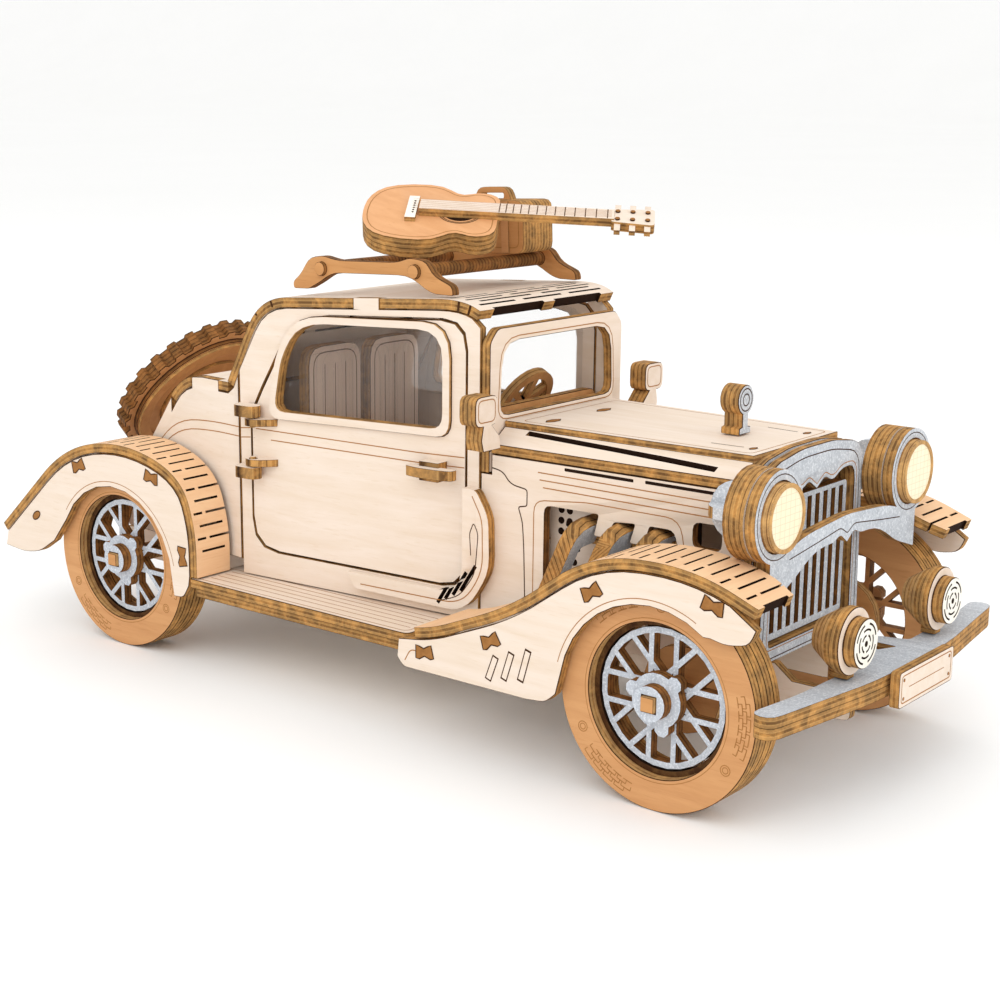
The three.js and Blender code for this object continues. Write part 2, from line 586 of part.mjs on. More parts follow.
// ---- radiator ----
const shellHalf = [
  [18.6, notchZ + GAP, 1], [17.4, 58.6, 4], [6, 60.4, 3],
];
const shellShape = outline([...shellHalf, ...shellHalf.map(([y, z, c]) => [-y, z, c]).reverse()]);
const mouthHalf = [[15.2, 25.5, 1], [14.6, 54.6, 3], [9.5, 54.4, 1.5], [6, 52.6, 1.5], [3, 54, 1]];
const mouth = [...mouthHalf, [0, 52.2], ...mouthHalf.map(([y, z, c]) => [-y, z, c]).reverse()];
const shellFront = crosswise(withHoles(shellShape, outline(mouth, 3)), RADIATOR_DEPTH);
const groove = crosswise(withHoles(rect(-30, 10, 30, 70), outline(shellHalf
  .concat(shellHalf.map(([y, z, c]) => [-y, z, c]).reverse())
  .map(([y, z, c]) => [y * 0.965, z - 0.7, c]))), 0.8);
piece('radiator_shell', cut(shellFront, groove.translate(RADIATOR_DEPTH / 2 - 0.4, 0, 0)),
  SILVER, [RADIATOR_X, 0, 0]);

const grilleSlots = [];
for (let i = -4; i <= 4; i++) {
  grilleSlots.push(block(-1, 3 * i - 0.75, 27.4, 3, 3 * i + 0.75, 50.6));
}
piece('radiator_grille', cut(crosswise(rect(-14.2, 26, 14.2, 51.6, 1), 1.8), ...grilleSlots),
  SILVER, [RADIATOR_X + 1, 0, 0]);

// ---- lamps, bumper and number plate ----
// Both lamp rings with a wavy bar between them and a foot under each ring.
const lampDisc = (radius) => disc(LAMP_Y, LAMP_Z, radius, 32);
const ringShape = () => withHoles(lampDisc(LAMP_RING_R), lampDisc(LENS_R + GAP));
const barHalf = [
  [22, 45.6], [16, 47.4, 4], [0, 48.6, 4],
];
const barLower = [
  [0, 43.4], [2.6, 45.2, 1], [5, 44.2, 1], [12, 44, 4], [20, 39.8, 2], [27.5, 37.4], [27.5, 46.4],
];
const barShape = outline([
  ...barLower, ...barHalf, ...barHalf.slice(0, 2).reverse().map(([y, z, c]) => [-y, z, c]),
  ...barLower.slice(1).reverse().map(([y, z, c]) => [-y, z, c]),
]);
const ringRight = crosswise(ringShape());
piece('headlamp_bracket', cut(join(ringRight, mirrored(ringRight), crosswise(barShape)),
  ...[1, -1].map((side) => crosswise(disc(side * LAMP_Y, LAMP_Z, LENS_R + GAP, 32), 6).translate(-2, 0, 0))),
  SILVER, [BRACKET_X, 0, 0]);

// Lens, two stacked rings and two crossed half-round plates that stand for the lamp's bowl.
function headlamp() {
  const stack = 2 * SHEET;
  const rings = crosswise(disc(0, 0, LAMP_RING_R, 32), stack).translate(-stack - GAP, 0, 0);
  const lens = crosswise(disc(0, 0, LENS_R, 28), SHEET + GAP + 1.5).translate(-GAP - 0.1, 0, 0);
  const back = rounded([[0.1, -5], [-5, -5, 4], [-7.4, 0, 3], [-5, 5, 4], [0.1, 5]], false);
  const bowl = shapeOf(back);
  const upright = lengthwise(bowl).translate(-stack - GAP, -SHEET / 2, 0);
  const level = flat(bowl).translate(-stack - GAP, 0, -SHEET / 2);
  return join(rings, lens, upright, level);
}
pair('headlamp', headlamp(), SILVER, [BRACKET_X, -LAMP_Y, LAMP_Z]);

const bumperHalf = [
  [0, 0], [-0.4, -16, 8], [-3.2, -34, 8], [-4.4, -BUMPER_HALF, 3], [-8.8, -BUMPER_HALF + 0.5, 2.5],
  [-7, -30, 6], [-6.6, -11, 1], [-13.2, -9, 2],
];
const bumperShape = outline([...bumperHalf, ...bumperHalf.slice(1).map(([x, y, c]) => [x, -y, c]).reverse()]);
withHoles(bumperShape, outline([[-10.8, -5.6, 0.6], [-6.4, -5.6, 0.6], [-8.4, -1.4, 0.6]]),
  outline([[-10.8, 5.6, 0.6], [-6.4, 5.6, 0.6], [-8.4, 1.4, 0.6]]));
piece('bumper', flat(bumperShape, 2 * SHEET), SILVER, [BUMPER_X, 0, BUMPER_TOP - 2 * SHEET]);
piece('number_plate', crosswise(rect(-10.8, 18.2, 10.8, 24.8, 0.8)), CREAM, [BUMPER_X + GAP, 0, 0]);

// A target-shaped lamp on a stem: small disc, wide ring, narrow neck and a round cone.
function fogLamp() {
  const profile = [
    [0, 0], [3, 0], [5.4, 3.6], [5.4, 4.8], [6, 4.8], [6, 6.6], [4.4, 6.6], [4.4, 8.8], [0, 8.8],
  ];
  const body = new THREE.LatheGeometry(profile.map(([r, x]) => new THREE.Vector2(r, x)), 24);
  body.rotateZ(-Math.PI / 2);
  const stem = block(3.4, -1.2, BUMPER_TOP + GAP - FOG_Z, 6.2, 1.2, -4);
  return join(body, stem);
}
pair('fog_lamp', fogLamp(), CREAM, [BUMPER_X - 10.2, -FOG_Y, FOG_Z]);

// ---- fenders ----
// The crest of each fender, along which its plate ends and its bent strip lies.
const frontCrest = rounded([
  [15.6, 20.6], [24, 21.8, 5], [43, 29.6, 8], [61, 42.6, 9], [80, 43.4, 9], [95, 37.6],
], false, 5);
const rearCrest = rounded([
  [-109, 20.5], [-86, 41.2, 10], [-68, 44.8, 12], [-50.6, 40.6, 10], [-46.9, 30.5, 6], [-46.9, 20.6],
], false, 5);

// A side plate: its crest above, its wheel arch below, and its tips.
function fenderPlate(crest, lower) {
  return lengthwise(shapeOf([...crest, ...lower.map(([x, z]) => new THREE.Vector2(x, z))]));
}
const frontLower = [
  ...rounded([[92.6, 37.2], [91.4, 34.4, 1.5], [87, 33.6, 1.5], [84, 34.2]], false, 3).map((p) => [p.x, p.y]),
  ...arc(FRONT_AXLE_X, 19, ARCH_R, 55, 172),
  ...rounded([[52.6, 17.6], [50.4, 15.6, 1.2], [46, 15.2], [16.8, 15.2, 1], [15.2, 17, 0.8]], false, 3)
    .map((p) => [p.x, p.y]),
];
const frontPlateY = FRONT_FACE_Y + GAP + 0.2 + SHEET;
pair('front_fender_plate', fenderPlate(frontCrest.slice(0, -1), frontLower), CREAM, [0, -frontPlateY, 0]);

const rearArchX = REAR_AXLE_X + 1;
const rearLower = [
  ...rounded([[-47.3, 18.4], [-49, 15.6, 1], [-52, 15.4]], false, 3).map((p) => [p.x, p.y]),
  ...arc(rearArchX, 18, ARCH_R, 2, 152),
  ...rounded([[-92, 21], [-97.4, 17.6, 2], [-103, 16.6, 2], [-109.8, 17.2, 1.6]], false, 3)
    .map((p) => [p.x, p.y]),
];
pair('rear_fender_plate', fenderPlate(rearCrest, rearLower), CREAM, [0, -REAR_FACE_Y - GAP - 0.2 - SHEET, 0]);

// A bent strip on a crest, trimmed to a plan outline.
function fenderStrip(crest, plan) {
  const band = lengthwise(ribbon(crest, GAP, GAP + SHEET), 60).translate(0, -60, 0);
  return common(band, flat(plan, 80));
}
const frontEdge = FRONT_FACE_Y + GAP + 0.2 + SHEET;
const rearEdge = REAR_FACE_Y + GAP + 0.2 + SHEET;
const besideCorner = cabinHalf(17) + SHEET + 2 * GAP; // clears the plate at the door's corner
const frontPlan = outline([
  [17, -frontEdge], [97, -frontEdge, 4], [99.4, -33, 4], [90, -FENDER_INNER_Y, 3],
  [30, -FENDER_INNER_Y + 0.8], [24, -besideCorner, 2], [17, -besideCorner],
]);
const rearPlan = outline([
  [-120, -rearEdge], [-40, -rearEdge], [-40, -cabinHalf(BEND_X) - 3 * GAP],
  [-46.5, -cabinHalf(BEND_X) - 2 * GAP], [-64, -quarterHalf(-64) - 1],
  [-86, -quarterHalf(-86) - 1], [-120, -quarterHalf(-86) - 3],
]);
pair('front_fender_strip', fenderStrip(frontCrest, frontPlan), PEACH);
pair('rear_fender_strip', fenderStrip(rearCrest, rearPlan), PEACH);

// ---- mirrors and ornament ----
const mirrorFace = crosswise(rect(-3.4, 3.2, 3.2, 8.9, 1.6), 2 * SHEET);
const mirrorArm = outline([[-1, -1.6], [4.2, -1.6], [3.8, 1], [1.2, 3.6], [-1, 3.6], [-1.6, 0.6]]);
const mirrorStem = crosswise(mirrorArm, 2 * SHEET);
pair('mirror', join(mirrorFace, mirrorStem), CREAM, [hoodRear, -28, 57.6]);

const ornamentRing = crosswise(disc(0, 6.4, 2.8, 20), 2 * SHEET);
const ornamentFoot = [[-2, 0], [2, 0], [2, 1.2], [1, 1.4], [1, 4.4], [-1, 4.4], [-1, 1.4], [-2, 1.2]];
const ornamentStem = crosswise(outline(ornamentFoot), 2 * SHEET);
piece('hood_ornament', join(ornamentRing, ornamentStem), SILVER, [61, 0, HOOD_TOP_Z + GAP]);

// ---- roof rack and luggage, in a frame that lies on the sloping roof ----
const rack = new THREE.Group();
rack.position.z = 82.75 + GAP;
rack.rotation.y = -Math.atan(RACK_TILT);
car.add(rack);

const RACK_BAR_R = 1.4;
const rackBarLength = 2 * RACK_Y + SHEET + 1.6;
const barX = [-22.4, 2.6];
const barZ = 4.2;
const rackRail = lengthwise(outline([
  [-30.6, 0, 0.5], [-26.4, 0, 0.5], [-23.2, 1.4, 2], [-19.6, 3.4, 2], [1, 3.4, 3], [5.4, 0.6, 2],
  [7.6, 0, 0.5], [12, -0.2, 0.5], [11.8, 1.6, 1], [7, 3.6, 2], [5.4, 6.4, 2], [1, 6.8, 1],
  [-2, 5.9, 2], [-18, 5.9, 2], [-22, 6.8, 1], [-26, 6.4, 2], [-28.4, 3, 2], [-30.8, 1.4, 1],
]));
const rackBars = barX.map((x) =>
  lengthwise(disc(x, barZ, RACK_BAR_R, 14), rackBarLength).translate(0, -rackBarLength / 2, 0));
piece('roof_rack', join(rackRail.clone().translate(0, -RACK_Y - SHEET / 2, 0),
  rackRail.translate(0, RACK_Y - SHEET / 2, 0), ...rackBars), TAN, [0, 0, 0], rack);

// Luggage rests on the two cross bars.
const luggageZ = barZ + RACK_BAR_R + GAP;
const caseLength = 23;
const caseHeight = 10.8;
const caseBody = lengthwise(rect(0, 0, caseLength, caseHeight, 2), 5 * SHEET);
const caseHandle = lengthwise(withHoles(
  outline([[7, caseHeight - 0.5], [17, caseHeight - 0.5], [15.8, caseHeight + 2.6, 1.5],
    [8.2, caseHeight + 2.6, 1.5]]),
  rect(9, caseHeight + 0.2, 15, caseHeight + 1.4, 0.4)), SHEET);
piece('suitcase', join(caseBody, caseHandle.translate(0, 2 * SHEET, 0)), TAN,
  [-15.8, 7.6, luggageZ], rack);

// A guitar on its back, its origin on the bridge: a waisted body, a neck, and a head with
// six pegs.
const GUITAR_DEPTH = 4.2;
function guitar() {
  const half = [[-9.9, 5, 4], [-6.4, 11, 5], [4.6, 12.4, 6], [9, 7.4, 4], [13, 9.8, 4], [17.3, 8, 3]];
  const other = half.map(([u, v, c]) => [u, -v, c]).reverse();
  const body = flat(outline([...half, ...other]), GUITAR_DEPTH).translate(0, 0, -GUITAR_DEPTH);
  const neck = block(1.5, -2, -0.1, 40.5, 2, 1.7);
  const head = flat(outline([[40, -2.6, 0.5], [40, 2.6, 0.5], [48.6, 3.4, 1], [48.6, -3.4, 1]]), SHEET);
  head.translate(0, 0, -0.6);
  const bridge = block(-1.1, -4.6, -0.1, 1, 4.6, 1);
  const pegs = [41.2, 44.2, 47.2].map((u) => block(u - 0.6, -5.4, 0, u + 0.6, 5.4, 1));
  return join(body, neck, head, bridge, ...pegs);
}
const guitarSeat = new THREE.Group();
guitarSeat.position.set(-8.5, -9.2, 98);
guitarSeat.rotation.order = 'ZYX';
guitarSeat.rotation.set(...[23.5, 2.2, 34.2].map(THREE.MathUtils.degToRad));
car.add(guitarSeat);
piece('guitar', guitar(), PEACH, [0, 0, 0], guitarSeat);

// ---- spare wheel, leaning on the tail ----
function spareWheel() {
  const blocks = 26;
  const tread = [];
  for (let i = 0; i < 2 * blocks; i++) {
    const radius = i % 2 ? WHEEL_R : WHEEL_R - 1.1;
    for (const side of [0.08, 0.92]) {
      const turn = (Math.PI * (i + side)) / blocks;
      tread.push(new THREE.Vector2(radius * Math.cos(turn), radius * Math.sin(turn)));
    }
  }
  const tyreSheets = flat(shapeOf(tread), 2 * SHEET);
  const face = flat(disc(0, 0, WHEEL_R - 2.4, 40), 3 * SHEET - 0.4).translate(0, 0, -1);
  const foot = flat(rect(-5, -4, 5, 4, 1), 3.4).translate(0, 0, -4.2);
  return join(tyreSheets, face, foot);
}
const spare = piece('spare_wheel', spareWheel(), BROWN, [-83, 0, 51.8]);
spare.rotation.y = THREE.MathUtils.degToRad(-SPARE_TILT);

// The wheels stand on the ground and the origin is under the middle of the car's length.
const extent = new THREE.Box3().setFromObject(car, true);
car.position.set(-(extent.min.x + extent.max.x) / 2, 0, -extent.min.z);

export default model;
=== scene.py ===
import json
import math

import bmesh
import bpy
from mathutils import Matrix, Vector

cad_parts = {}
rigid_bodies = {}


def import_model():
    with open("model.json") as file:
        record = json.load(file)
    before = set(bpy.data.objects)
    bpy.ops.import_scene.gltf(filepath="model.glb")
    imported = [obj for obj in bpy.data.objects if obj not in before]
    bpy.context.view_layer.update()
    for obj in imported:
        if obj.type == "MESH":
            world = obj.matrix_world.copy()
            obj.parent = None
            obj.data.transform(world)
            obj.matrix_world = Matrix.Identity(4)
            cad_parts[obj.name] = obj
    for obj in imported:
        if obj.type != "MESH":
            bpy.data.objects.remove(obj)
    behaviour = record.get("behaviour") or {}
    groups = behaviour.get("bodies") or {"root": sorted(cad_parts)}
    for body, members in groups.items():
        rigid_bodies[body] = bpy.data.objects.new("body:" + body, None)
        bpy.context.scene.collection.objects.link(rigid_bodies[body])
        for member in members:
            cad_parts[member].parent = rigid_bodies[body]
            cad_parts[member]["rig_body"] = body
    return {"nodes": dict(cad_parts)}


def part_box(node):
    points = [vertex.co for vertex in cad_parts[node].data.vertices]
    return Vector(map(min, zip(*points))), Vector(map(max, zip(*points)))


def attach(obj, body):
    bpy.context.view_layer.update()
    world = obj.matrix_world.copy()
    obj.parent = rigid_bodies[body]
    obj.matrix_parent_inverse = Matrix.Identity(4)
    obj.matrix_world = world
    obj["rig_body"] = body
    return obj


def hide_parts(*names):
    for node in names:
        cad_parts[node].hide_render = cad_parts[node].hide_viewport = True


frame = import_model()

bl_info = {
    "name": "Plywood coupe looks",
    "version": (1, 0, 0),
    "blender": (4, 5, 0),
    "location": "3D View > Sidebar > Plywood coupe",
    "description": "Builds the laser-cut wooden coupe piece by piece, and its stage",
    "category": "Object",
}

MM = 0.001
SHEET = 2.0
SIDES = ("right", "left")
# The car's own drawing places the front axle 72 mm ahead of its origin.
FRONT_AXLE_X = 72.0
_lo, _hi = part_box("front_tyre_right")
WHEEL_R = (_hi.z - _lo.z) / 2 / MM
SHIFT = (_lo.x + _hi.x) / 2 / MM - FRONT_AXLE_X
# A side plate's outer face: its distance from the middle where x is 0, and its taper.
CABIN_SIDE = (23.54, 0.077)
QUARTER_SIDE = (31.28, -0.11)
HOOD_SIDE = (22.5, 0.045)
FENDER_FACE_Y = {"front": 41.0, "rear": 37.0}
HEADLAMP_Y, HEADLAMP_Z = 25.0, 52.4
FOG_LAMP_AT = (91.6, 17.2, 31.0)
PLY_NOTCH = 0.12
PLATE_FACE_X = 104.0
SIDEWAYS, UPRIGHT, AHEAD, REARWARD = (0, 1, 0), (0, 0, 1), (1, 0, 0), (-1, 0, 0)


def point(x, y, z):
    """A place given in the car's own millimetres, in the row frame's metres."""
    return Vector(((x + SHIFT) * MM, y * MM, z * MM))


def tone(red, green, blue):
    """A linear colour from everyday 0 to 255 values."""
    def linear(c):
        c /= 255
        return c / 12.92 if c <= 0.04045 else ((c + 0.055) / 1.055) ** 2.4
    return (linear(red), linear(green), linear(blue), 1.0)


# ---------------------------------------------------------------- settings

class WoodSettings(bpy.types.PropertyGroup):
    contrast: bpy.props.FloatProperty(
        name="Grain contrast", description="How strongly the grain shows on cut faces",
        default=0.42, min=0, max=1, subtype="FACTOR")
    burn: bpy.props.FloatProperty(
        name="Edge burn", description="How dark the laser leaves the cut edges",
        default=0.5, min=0, max=1, subtype="FACTOR")
    outline: bpy.props.FloatProperty(
        name="Charred outline", description="Width of the dark rim around each cut face",
        default=0.14 * MM, min=0.02 * MM, max=0.4 * MM, precision=5, unit="LENGTH")
    line: bpy.props.FloatProperty(
        name="Engraved line", description="Width of the lines engraved on the faces",
        default=0.22 * MM, min=0.05 * MM, max=0.6 * MM, precision=5, unit="LENGTH")


class StageSettings(bpy.types.PropertyGroup):
    key_power: bpy.props.FloatProperty(
        name="Key light", description="Power of the large light above the camera",
        default=2.6, min=0, soft_max=50, unit="POWER")
    fill_power: bpy.props.FloatProperty(
        name="Fill light", description="Power of the light on the nose's side",
        default=1.2, min=0, soft_max=50, unit="POWER")
    sky: bpy.props.FloatProperty(
        name="Surround", description="Brightness of the pale surround",
        default=1.0, min=0, soft_max=3)
    focal: bpy.props.FloatProperty(
        name="Focal length", description="Camera focal length in millimetres for a 36 mm sensor",
        default=64.73, min=10, soft_max=200)


# --------------------------------------------------------------- materials

class Shader:
    """A short way to lay out a node material."""

    def __init__(self, name):
        self.material = bpy.data.materials.new(name)
        self.material.use_nodes = True
        self.tree = self.material.node_tree
        self.surface = self.tree.nodes["Principled BSDF"]

    def node(self, kind, inputs=None, **settings):
        node = self.tree.nodes.new(kind)
        for key, value in settings.items():
            setattr(node, key, value)
        for key, value in (inputs or {}).items():
            if isinstance(value, bpy.types.NodeSocket):
                self.tree.links.new(value, node.inputs[key])
            else:
                node.inputs[key].default_value = value
        return node

    def place(self, scale):
        """Object coordinates stretched by a scale along each axis."""
        where = self.node("ShaderNodeTexCoord").outputs["Object"]
        return self.node("ShaderNodeMapping", {"Vector": where, "Scale": scale}).outputs[0]

    def noise(self, vector, scale, detail=4.0, rough=0.55, twist=0.0):
        return self.node("ShaderNodeTexNoise", {
            "Vector": vector, "Scale": scale, "Detail": detail, "Roughness": rough,
            "Distortion": twist}).outputs["Fac"]

    def ramp(self, value, *stops):
        node = self.node("ShaderNodeValToRGB", {"Fac": value})
        bar = node.color_ramp
        while len(bar.elements) < len(stops):
            bar.elements.new(0.5)
        for element, (place, colour) in zip(bar.elements, stops):
            element.position = place
            element.color = colour if isinstance(colour, tuple) else (colour, colour, colour, 1)
        return node.outputs[0]

    def mix(self, amount, first, second, how="MIX"):
        node = self.node("ShaderNodeMix", data_type="RGBA", blend_type=how)
        for index, value in ((0, amount), (6, first), (7, second)):
            if isinstance(value, bpy.types.NodeSocket):
                self.tree.links.new(value, node.inputs[index])
            else:
                node.inputs[index].default_value = value
        return node.outputs[2]

    def maths(self, how, first, second=0.0):
        return self.node("ShaderNodeMath", {0: first, 1: second}, operation=how).outputs[0]

    def connect(self, socket, value):
        if isinstance(value, bpy.types.NodeSocket):
            self.tree.links.new(value, self.surface.inputs[socket])
        else:
            self.surface.inputs[socket].default_value = value

    def bump(self, height, strength, distance=0.0002):
        node = self.node("ShaderNodeBump", {
            "Height": height, "Strength": strength, "Distance": distance})
        self.tree.links.new(node.outputs[0], self.surface.inputs["Normal"])


def wood_face(name, light, dark, along="X", speckle=None):
    """The face of a sheet: long grain, soft patches, fine pores and, if printed, a speckle."""
    contrast = bpy.context.scene.wood_looks.contrast
    shade = Shader(name)
    stretch = {"X": (0.09, 1, 1), "Y": (1, 0.09, 1), "Z": (1, 1, 0.09)}[along]
    place = shade.place(stretch)
    grain = shade.ramp(shade.noise(place, 420, 6, 0.62, 0.35), (0.36, 0.0), (0.66, 1.0))
    patches = shade.ramp(shade.noise(shade.place((0.35, 1, 1)), 38, 3), (0.35, 0.0), (0.7, 1.0))
    pores = shade.ramp(shade.noise(place, 2600, 2, 0.5), (0.6, 0.0), (0.72, 1.0))
    body = shade.mix(shade.maths("MULTIPLY", grain, contrast), light, dark)
    body = shade.mix(shade.maths("MULTIPLY", patches, 0.16), body, dark)
    body = shade.mix(shade.maths("MULTIPLY", pores, 0.3), body, dark)
    if speckle:
        dots = shade.ramp(
            shade.noise(shade.place((1, 1, 1)), 2300, 2, 0.7), (0.5, 0.0), (0.62, 1.0))
        body = shade.mix(shade.maths("MULTIPLY", dots, 0.6), body, speckle)
        pits = shade.ramp(
            shade.noise(shade.place((1, 1, 1)), 1700, 3, 0.7), (0.34, 1.0), (0.44, 0.0))
        body = shade.mix(shade.maths("MULTIPLY", pits, 0.35), body, dark)
    shade.connect("Base Color", body)
    shade.connect("Roughness", 0.62)
    shade.connect("Specular IOR Level", 0.25)
    shade.bump(pores, 0.12, 0.00008)
    return shade.material


def cut_edge(name, dark, amber, glue, balance=0.5):
    """A laser-cut edge: scorched plies and thin paler glue lines, from the sheet's own map."""
    burn = bpy.context.scene.wood_looks.burn
    shade = Shader(name)
    across = shade.node("ShaderNodeUVMap", uv_map="sheet").outputs[0]
    depth = shade.node("ShaderNodeSeparateXYZ", {0: across}).outputs[1]
    turn = shade.maths("FRACT", shade.maths("DIVIDE", depth, SHEET))
    plies = shade.ramp(
        turn, (0.0, 0.0), (0.05, 0.55), (0.28, 0.65), (0.33, 1.0), (0.38, 0.3), (0.5, 0.2),
        (0.62, 0.35), (0.67, 1.0), (0.72, 0.6), (0.95, 0.5), (1.0, 0.0))
    place = shade.place((1, 1, 1))
    blotch = shade.ramp(
        shade.noise(place, 330, 5, 0.7, 0.4), (0.36 + 0.12 * burn, 0.0), (0.64, 1.0))
    fine = shade.noise(place, 1900, 3, 0.6)
    burnt = shade.mix(blotch, dark, amber)
    mottled = shade.mix(shade.maths("MULTIPLY", fine, 0.55), burnt, dark)
    line = shade.maths("MULTIPLY", plies, balance)
    body = shade.mix(line, mottled, glue)
    joint = shade.ramp(turn, (0.0, 1.0), (0.06, 0.0), (0.94, 0.0), (1.0, 1.0))
    body = shade.mix(shade.maths("MULTIPLY", joint, 0.8), body, tone(38, 20, 10))
    shade.connect("Base Color", body)
    shade.connect("Roughness", 0.72)
    shade.connect("Specular IOR Level", 0.15)
    shade.bump(fine, 0.25, 0.00012)
    return shade.material


def scorched(name, colour, other):
    """A charred outline or an engraved line, uneven in its darkness."""
    shade = Shader(name)
    patch = shade.noise(shade.place((1, 1, 1)), 700, 4, 0.65)
    shade.connect("Base Color", shade.mix(patch, colour, other))
    shade.connect("Roughness", 0.8)
    shade.connect("Specular IOR Level", 0.1)
    return shade.material


def lens_face(name):
    """A cream lamp lens with a fine engraved grid."""
    shade = Shader(name)
    parts = shade.node("ShaderNodeSeparateXYZ", {0: shade.place((1, 1, 1))})
    bars = []
    for axis, pitch in ((1, 0.0016), (2, 0.0012)):
        turn = shade.maths("FRACT", shade.maths("DIVIDE", parts.outputs[axis], pitch))
        bars.append(shade.ramp(turn, (0.0, 1.0), (0.13, 0.0), (1.0, 0.0)))
    grid = shade.maths("MAXIMUM", *bars)
    patch = shade.noise(shade.place((1, 1, 1)), 180, 3)
    body = shade.mix(patch, tone(250, 241, 212), tone(242, 226, 184))
    shade.connect("Base Color", shade.mix(
        shade.maths("MULTIPLY", grid, 0.55), body, tone(200, 160, 104)))
    shade.connect("Roughness", 0.4)
    shade.connect("Coat Weight", 0.25)
    return shade.material


def clear_sheet(name):
    """Thin clear plastic with a faint smoke and small scuffs."""
    shade = Shader(name)
    smears = shade.ramp(
        shade.noise(shade.place((1, 1, 0.3)), 90, 5, 0.6, 0.5), (0.4, 0.0), (0.8, 1.0))
    shade.connect("Base Color", shade.mix(smears, tone(206, 204, 204), tone(186, 184, 186)))
    shade.connect("Roughness", shade.maths("MULTIPLY", smears, 0.06))
    shade.connect("Transmission Weight", 0.8)
    shade.connect("IOR", 1.2)
    shade.connect("Alpha", 0.18)
    return shade.material


LOOKS = {}


def make_looks():
    cream, dusk = tone(237, 221, 206), tone(220, 197, 169)
    LOOKS.update({
        "cream": wood_face("basswood", cream, dusk),
        "cream_across": wood_face("basswood_across", cream, dusk, along="Y"),
        "tan": wood_face("tan_print", tone(208, 152, 96), tone(170, 114, 62)),
        "peach": wood_face("peach_print", tone(243, 203, 160), tone(220, 168, 122), along="Y"),
        "amber_top": wood_face("spruce_print", tone(228, 172, 122), tone(204, 142, 90)),
        "brown": wood_face("brown_print", tone(214, 160, 108), tone(182, 124, 74)),
        "seat": wood_face("seat_print", tone(232, 208, 188), tone(188, 164, 146), along="Z"),
        "silver": wood_face(
            "silver_print", tone(199, 204, 210), tone(150, 156, 164), speckle=tone(232, 235, 238)),
        "silver_side": wood_face(
            "silver_print_wheel", tone(200, 206, 214), tone(150, 158, 168), along="Z",
            speckle=tone(230, 234, 240)),
        "white": wood_face("white_print", tone(248, 244, 234), tone(228, 218, 200)),
        "edge": cut_edge("cut_edge", tone(70, 38, 16), tone(206, 146, 76), tone(238, 188, 118)),
        "edge_dark": cut_edge(
            "cut_edge_scorched", tone(52, 28, 12), tone(152, 96, 48), tone(200, 142, 78), 0.4),
        "edge_light": cut_edge(
            "cut_edge_pale", tone(122, 74, 34), tone(220, 164, 94), tone(242, 204, 142)),
        "char": scorched("charred_outline", tone(44, 24, 12), tone(84, 52, 28)),
        "engrave": scorched("engraved_line", tone(150, 98, 52), tone(186, 134, 80)),
        # Near-black for slots, holes, notches and gaps: the laser's char on their walls, plus
        # painted shade for the dark inside them.
        "groove": scorched("cut_char_and_shade", tone(24, 13, 8), tone(46, 26, 14)),
        "end_grain": scorched("tenon_end", tone(118, 74, 36), tone(186, 132, 76)),
        "lens": lens_face("lens_print"),
        "clear": clear_sheet("window_plastic"),
    })


# ----------------------------------------------------------------- shaping

def rounded(corners, closed=True, steps=4):
    """Points through corners (u, v, cut); a corner with a cut is rounded by that much."""
    count = len(corners)
    path = []
    for i, corner in enumerate(corners):
        here = Vector(corner[:2])
        cut = corner[2] if len(corner) > 2 else 0
        if not cut or (not closed and i in (0, count - 1)):
            path.append(here)
            continue
        arms = []
        for other in (corners[i - 1], corners[(i + 1) % count]):
            arm = Vector(other[:2]) - here
            arms.append(here + arm.normalized() * min(cut, arm.length / 2.01))
        for step in range(steps + 1):
            t = step / steps
            path.append(arms[0] * (1 - t) ** 2 + here * 2 * t * (1 - t) + arms[1] * t * t)
    return path


def beside(path, distance):
    """The same open path moved to its left by a distance."""
    moved = []
    for i, here in enumerate(path):
        before, after = path[max(i - 1, 0)], path[min(i + 1, len(path) - 1)]
        run = (after - before).normalized()
        moved.append(here + Vector((-run.y, run.x)) * distance)
    return moved


def circle(u, v, radius, sides=28, start=0.0, sweep=360.0):
    count = sides if sweep == 360 else sides + 1
    turns = (math.radians(start + sweep * i / sides) for i in range(count))
    return [Vector((u + radius * math.cos(t), v + radius * math.sin(t))) for t in turns]


class Plane:
    """A flat frame in the car's millimetres: an origin, two axes and the outward normal."""

    def __init__(self, origin, u, v, out):
        self.origin, self.u, self.v, self.out = map(Vector, (origin, u, v, out))

    def at(self, u, v, out=0.0):
        return point(*(self.origin + self.u * u + self.v * v + self.out * out))


def side_plane(half, taper, side):
    """A side plate's outer face, which narrows towards the front by the taper."""
    turn = math.atan(taper)
    sign = -outward(side)
    return Plane((0, -half * sign, 0), (math.cos(turn), sign * math.sin(turn), 0),
                 (0, 0, 1), (math.sin(turn), -sign * math.cos(turn), 0))


def facing(x, y=0, z=0):
    """A plane that looks towards the nose."""
    return Plane((x, y, z), (0, 1, 0), (0, 0, 1), (1, 0, 0))


def outward(side):
    """The sign of y on a side of the car."""
    return -1 if side == "right" else 1


